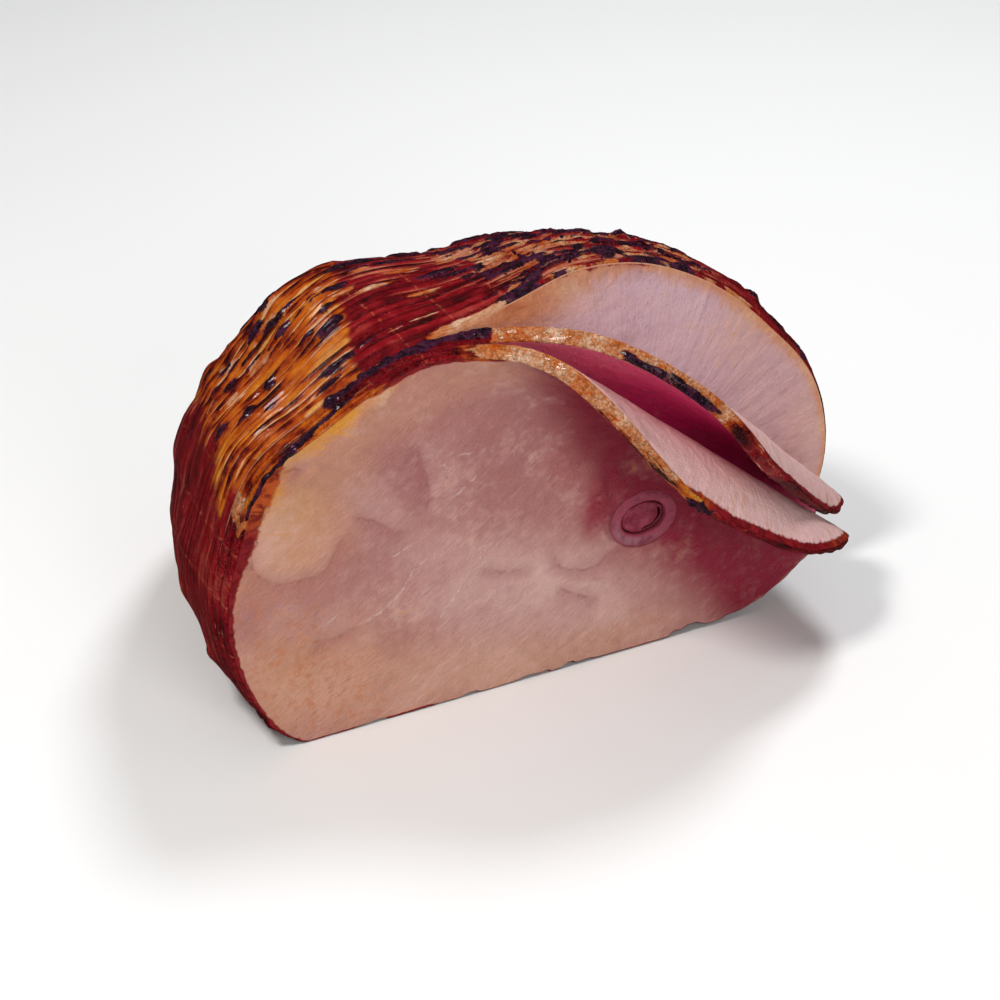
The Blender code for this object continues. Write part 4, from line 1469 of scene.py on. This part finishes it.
class HamColours(bpy.types.PropertyGroup):
    """Colours of the glaze and of the cut meat."""

    deep_red: colour_field("Deep red", "Darkest glaze", (0.03, 0.0008, 0.0014))
    maroon: colour_field("Maroon", "Mahogany glaze", (0.155, 0.0018, 0.005))
    red: colour_field("Red", "Lighter mahogany", (0.26, 0.004, 0.009))
    blood: colour_field("Blood red", "Smooth red glaze of the flank", (0.23, 0.0015, 0.001))
    rose_red: colour_field("Rose red", "Thin glaze over meat", (0.40, 0.045, 0.035))
    red_brown: colour_field("Red brown", "Dark amber glaze", (0.18, 0.009, 0.003))
    orange: colour_field("Orange", "Amber glaze", (0.46, 0.07, 0.004))
    gold: colour_field("Gold", "Clear golden glaze", (0.66, 0.18, 0.006))
    honey: colour_field("Honey", "Brightest glaze", (0.72, 0.32, 0.045))
    orange_tan: colour_field("Orange tan", "Glaze on fat", (0.52, 0.15, 0.04))
    tan: colour_field("Tan", "Bare rind", (0.56, 0.26, 0.13))
    cream: colour_field("Cream", "Bare fat", (0.76, 0.5, 0.35))
    crack: colour_field("Crack", "Thin pale lines between bands", (0.50, 0.12, 0.055))
    char: colour_field("Char", "Burnt glaze", (0.018, 0.0045, 0.012))
    char_violet: colour_field("Char sheen", "Burnt glaze where it is thin", (0.06, 0.01, 0.034))
    meat_tan: colour_field("Tan meat", "Outer muscle", (0.6, 0.3, 0.155))
    meat_peach: colour_field("Peach meat", "Lower muscle", (0.62, 0.29, 0.15))
    meat_pink: colour_field("Pink meat", "Middle muscle", (0.46, 0.205, 0.185))
    meat_mauve: colour_field("Mauve meat", "Inner muscle", (0.40, 0.155, 0.15))
    meat_lilac: colour_field("Lilac meat", "Fresh cut face behind", (0.64, 0.44, 0.50))
    meat_rose: colour_field("Rose meat", "Backs of the slices", (0.78, 0.49, 0.48))
    # The next two colours are painted shade: deep red under the first flap and by the bone, and deep
    # magenta on the second slice's front between the slices.
    meat_deep: colour_field("Deep meat", "Meat by the bone and in the fold", (0.27, 0.010, 0.034))
    meat_fold: colour_field("Folded meat", "Inside of the second fold", (0.84, 0.020, 0.185))
    meat_low: colour_field("Low meat", "Darker grain", (0.30, 0.11, 0.09))
    meat_pale: colour_field("Pale meat", "Highlights of the grain", (0.69, 0.43, 0.385))
    meat_gold: colour_field("Golden meat", "Fat near the rind", (0.62, 0.33, 0.11))
    meat_yolk: colour_field("Yolk fat", "Golden fat under the amber rind", (0.66, 0.27, 0.018))
    fat_tan: colour_field("Tan fat", "Margin under the rind", (0.66, 0.30, 0.13))
    fat_pale: colour_field("Pale fat", "Margin under the rind", (0.70, 0.44, 0.27))
    sinew: colour_field("Sinew", "Thin connective lines", (0.74, 0.60, 0.56))
    seam: colour_field("Seam", "Lines between muscles", (0.23, 0.06, 0.055))
    seam_soft: colour_field("Seam shade", "Broad shade along the seams", (0.33, 0.10, 0.115))
    bone: colour_field("Bone", "Sawn bone", (0.33, 0.13, 0.16))
    bone_warm: colour_field("Warm bone", "Sawn bone, pinker", (0.21, 0.04, 0.065))
    marrow_red: colour_field("Marrow red", "Dark marrow", (0.24, 0.025, 0.05))
    marrow_pink: colour_field("Marrow pink", "Pale marrow", (0.35, 0.055, 0.095))

    def palette(self):
        """The cut meat's colours by the short names that the tone tables use."""
        names = ("tan", "peach", "pink", "mauve", "lilac", "rose", "deep", "fold", "pale", "gold")
        return {name: tuple(getattr(self, "meat_" + name)) for name in names}


class Colours:
    """The colours as plain tuples, by name."""

    def __init__(self, group):
        for name in HamColours.__annotations__:
            setattr(self, name, tuple(getattr(group, name)))


def shared_material(name, maker):
    """The material of that name, made the first time that a piece asks for it."""
    if name in bpy.data.materials:
        return bpy.data.materials[name]
    return maker(Colours(bpy.context.scene.ham_colours))


def skin_and_meat():
    """The materials of a piece with both rind and meat, in the order of its slots."""
    return [shared_material("glazed_rind", rind_material), shared_material("cut_ham", meat_material)]


def settle(piece, slot, *nodes):
    """Put a piece on the frame's body in place of its CAD nodes."""
    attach(piece, "root")
    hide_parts(*nodes)


class HAM_OT_body(bpy.types.Operator):
    """Make the glazed body of the ham with its cut face"""

    bl_idname = "ham.make_body"
    bl_label = "Body"

    def execute(self, context):
        scene = context.scene
        piece = body_piece(scene.ham_sizes, scene.ham_colours.palette(), skin_and_meat())
        settle(piece, "rind", "ham_body")
        return {"FINISHED"}


class HAM_OT_slices(bpy.types.Operator):
    """Make the two slices that fold forward at the cut face"""

    bl_idname = "ham.make_slices"
    bl_label = "Slices"

    def execute(self, context):
        palette = context.scene.ham_colours.palette()
        first = SlicePlan(
            "slice_first", 0.0, FIRST_FOLD, first_rim_masks, FRONT_TONES, "pink", FIRST_MARGIN, SEAMS)
        second = SlicePlan(
            "slice_second", SLICE_PITCH, SECOND_FOLD, second_rim_masks, SECOND_SHADE_TONES, "rose",
            SECOND_MARGIN, ())
        for plan in (first, second):
            settle(slice_piece(plan, palette, skin_and_meat()), "meat", plan.node)
        return {"FINISHED"}


class HAM_OT_bone(bpy.types.Operator):
    """Make the sawn bone and the marrow in it"""

    bl_idname = "ham.make_bone"
    bl_label = "Bone and marrow"

    def execute(self, context):
        settle(bone_piece([shared_material("cooked_bone", bone_material)]), "bone", "bone")
        settle(marrow_piece([shared_material("red_marrow", marrow_material)]), "marrow", "marrow")
        return {"FINISHED"}


def area_light(name, place, aim, size, power, colour, in_highlights):
    """A round soft light that faces its aim."""
    light = bpy.data.lights.new(name, "AREA")
    light.shape = "DISK"
    light.size = size
    light.energy = power
    light.color = colour
    lamp = bpy.data.objects.new(name, light)
    lamp.location = place
    lamp.rotation_euler = (Vector(aim) - Vector(place)).to_track_quat("-Z", "Y").to_euler()
    lamp.visible_glossy = in_highlights
    bpy.context.scene.collection.objects.link(lamp)


def pale_floor():
    """A wide plane on the table's level, which doesn't show in the glaze's highlights."""
    bpy.ops.mesh.primitive_plane_add(size=6.0, location=(0.0, 0.0, CAD_BOX[0][2]))
    floor = bpy.context.active_object
    floor.name = "floor"
    material = bpy.data.materials.new("pale_floor")
    material.use_nodes = True
    shader = material.node_tree.nodes["Principled BSDF"].inputs
    shader["Base Color"].default_value = (0.90, 0.90, 0.90, 1.0)
    shader["Roughness"].default_value = 0.8
    floor.data.materials.append(material)
    floor.visible_glossy = False
    return floor


def studio_world():
    """A white surrounding that is much weaker in highlights than as light."""
    world = bpy.data.worlds.new("studio")
    world.use_nodes = True
    net = Net(world.node_tree)
    background = world.node_tree.nodes["Background"].inputs
    background["Color"].default_value = (1.0, 1.0, 1.0, 1.0)
    in_highlight = net.add("ShaderNodeLightPath").outputs["Is Glossy Ray"]
    net.feed(background["Strength"], net.plus(0.25, in_highlight, -0.22))
    return world


def studio_camera():
    """A camera that looks down at the cut face from its left."""
    lens = bpy.data.cameras.new("camera")
    lens.lens = CAMERA_LENS
    lens.sensor_width = 36.0
    camera = bpy.data.objects.new("camera", lens)
    way = Vector((
        math.sin(CAMERA_AZIMUTH) * math.cos(CAMERA_ELEVATION),
        -math.cos(CAMERA_AZIMUTH) * math.cos(CAMERA_ELEVATION),
        math.sin(CAMERA_ELEVATION),
    ))
    camera.location = Vector(SHIFT + np.array(CAMERA_TARGET)) + CAMERA_DISTANCE * way
    camera.rotation_euler = (-way).to_track_quat("-Z", "Y").to_euler()
    bpy.context.scene.collection.objects.link(camera)
    return camera


class HAM_OT_stage(bpy.types.Operator):
    """Make the pale floor, the soft lights and the camera"""

    bl_idname = "ham.make_stage"
    bl_label = "Stage"

    def execute(self, context):
        pale_floor()
        for light in LIGHTS:
            area_light(*light)
        context.scene.world = studio_world()
        context.scene.view_settings.view_transform = "Standard"
        context.scene.camera = studio_camera()
        return {"FINISHED"}


class HAM_PT_panel(bpy.types.Panel):
    """The ham's steps, sizes and colours"""

    bl_label = "Glazed ham"
    bl_idname = "HAM_PT_panel"
    bl_space_type = "VIEW_3D"
    bl_region_type = "UI"
    bl_category = "Ham"

    def draw(self, context):
        layout = self.layout
        for operator in OPERATORS:
            layout.operator(operator.bl_idname)
        for group in (context.scene.ham_sizes, context.scene.ham_colours):
            box = layout.box()
            for name in type(group).__annotations__:
                box.prop(group, name)


OPERATORS = (HAM_OT_body, HAM_OT_slices, HAM_OT_bone, HAM_OT_stage)
CLASSES = (HamSizes, HamColours, *OPERATORS, HAM_PT_panel)


def register():
    for cls in CLASSES:
        bpy.utils.register_class(cls)
    bpy.types.Scene.ham_sizes = bpy.props.PointerProperty(type=HamSizes)
    bpy.types.Scene.ham_colours = bpy.props.PointerProperty(type=HamColours)


def unregister():
    del bpy.types.Scene.ham_colours
    del bpy.types.Scene.ham_sizes
    for cls in reversed(CLASSES):
        bpy.utils.unregister_class(cls)


def main():
    register()
    bpy.ops.ham.make_body()
    bpy.ops.ham.make_slices()
    bpy.ops.ham.make_bone()
    bpy.ops.ham.make_stage()


if __name__ == "__main__":
    main()
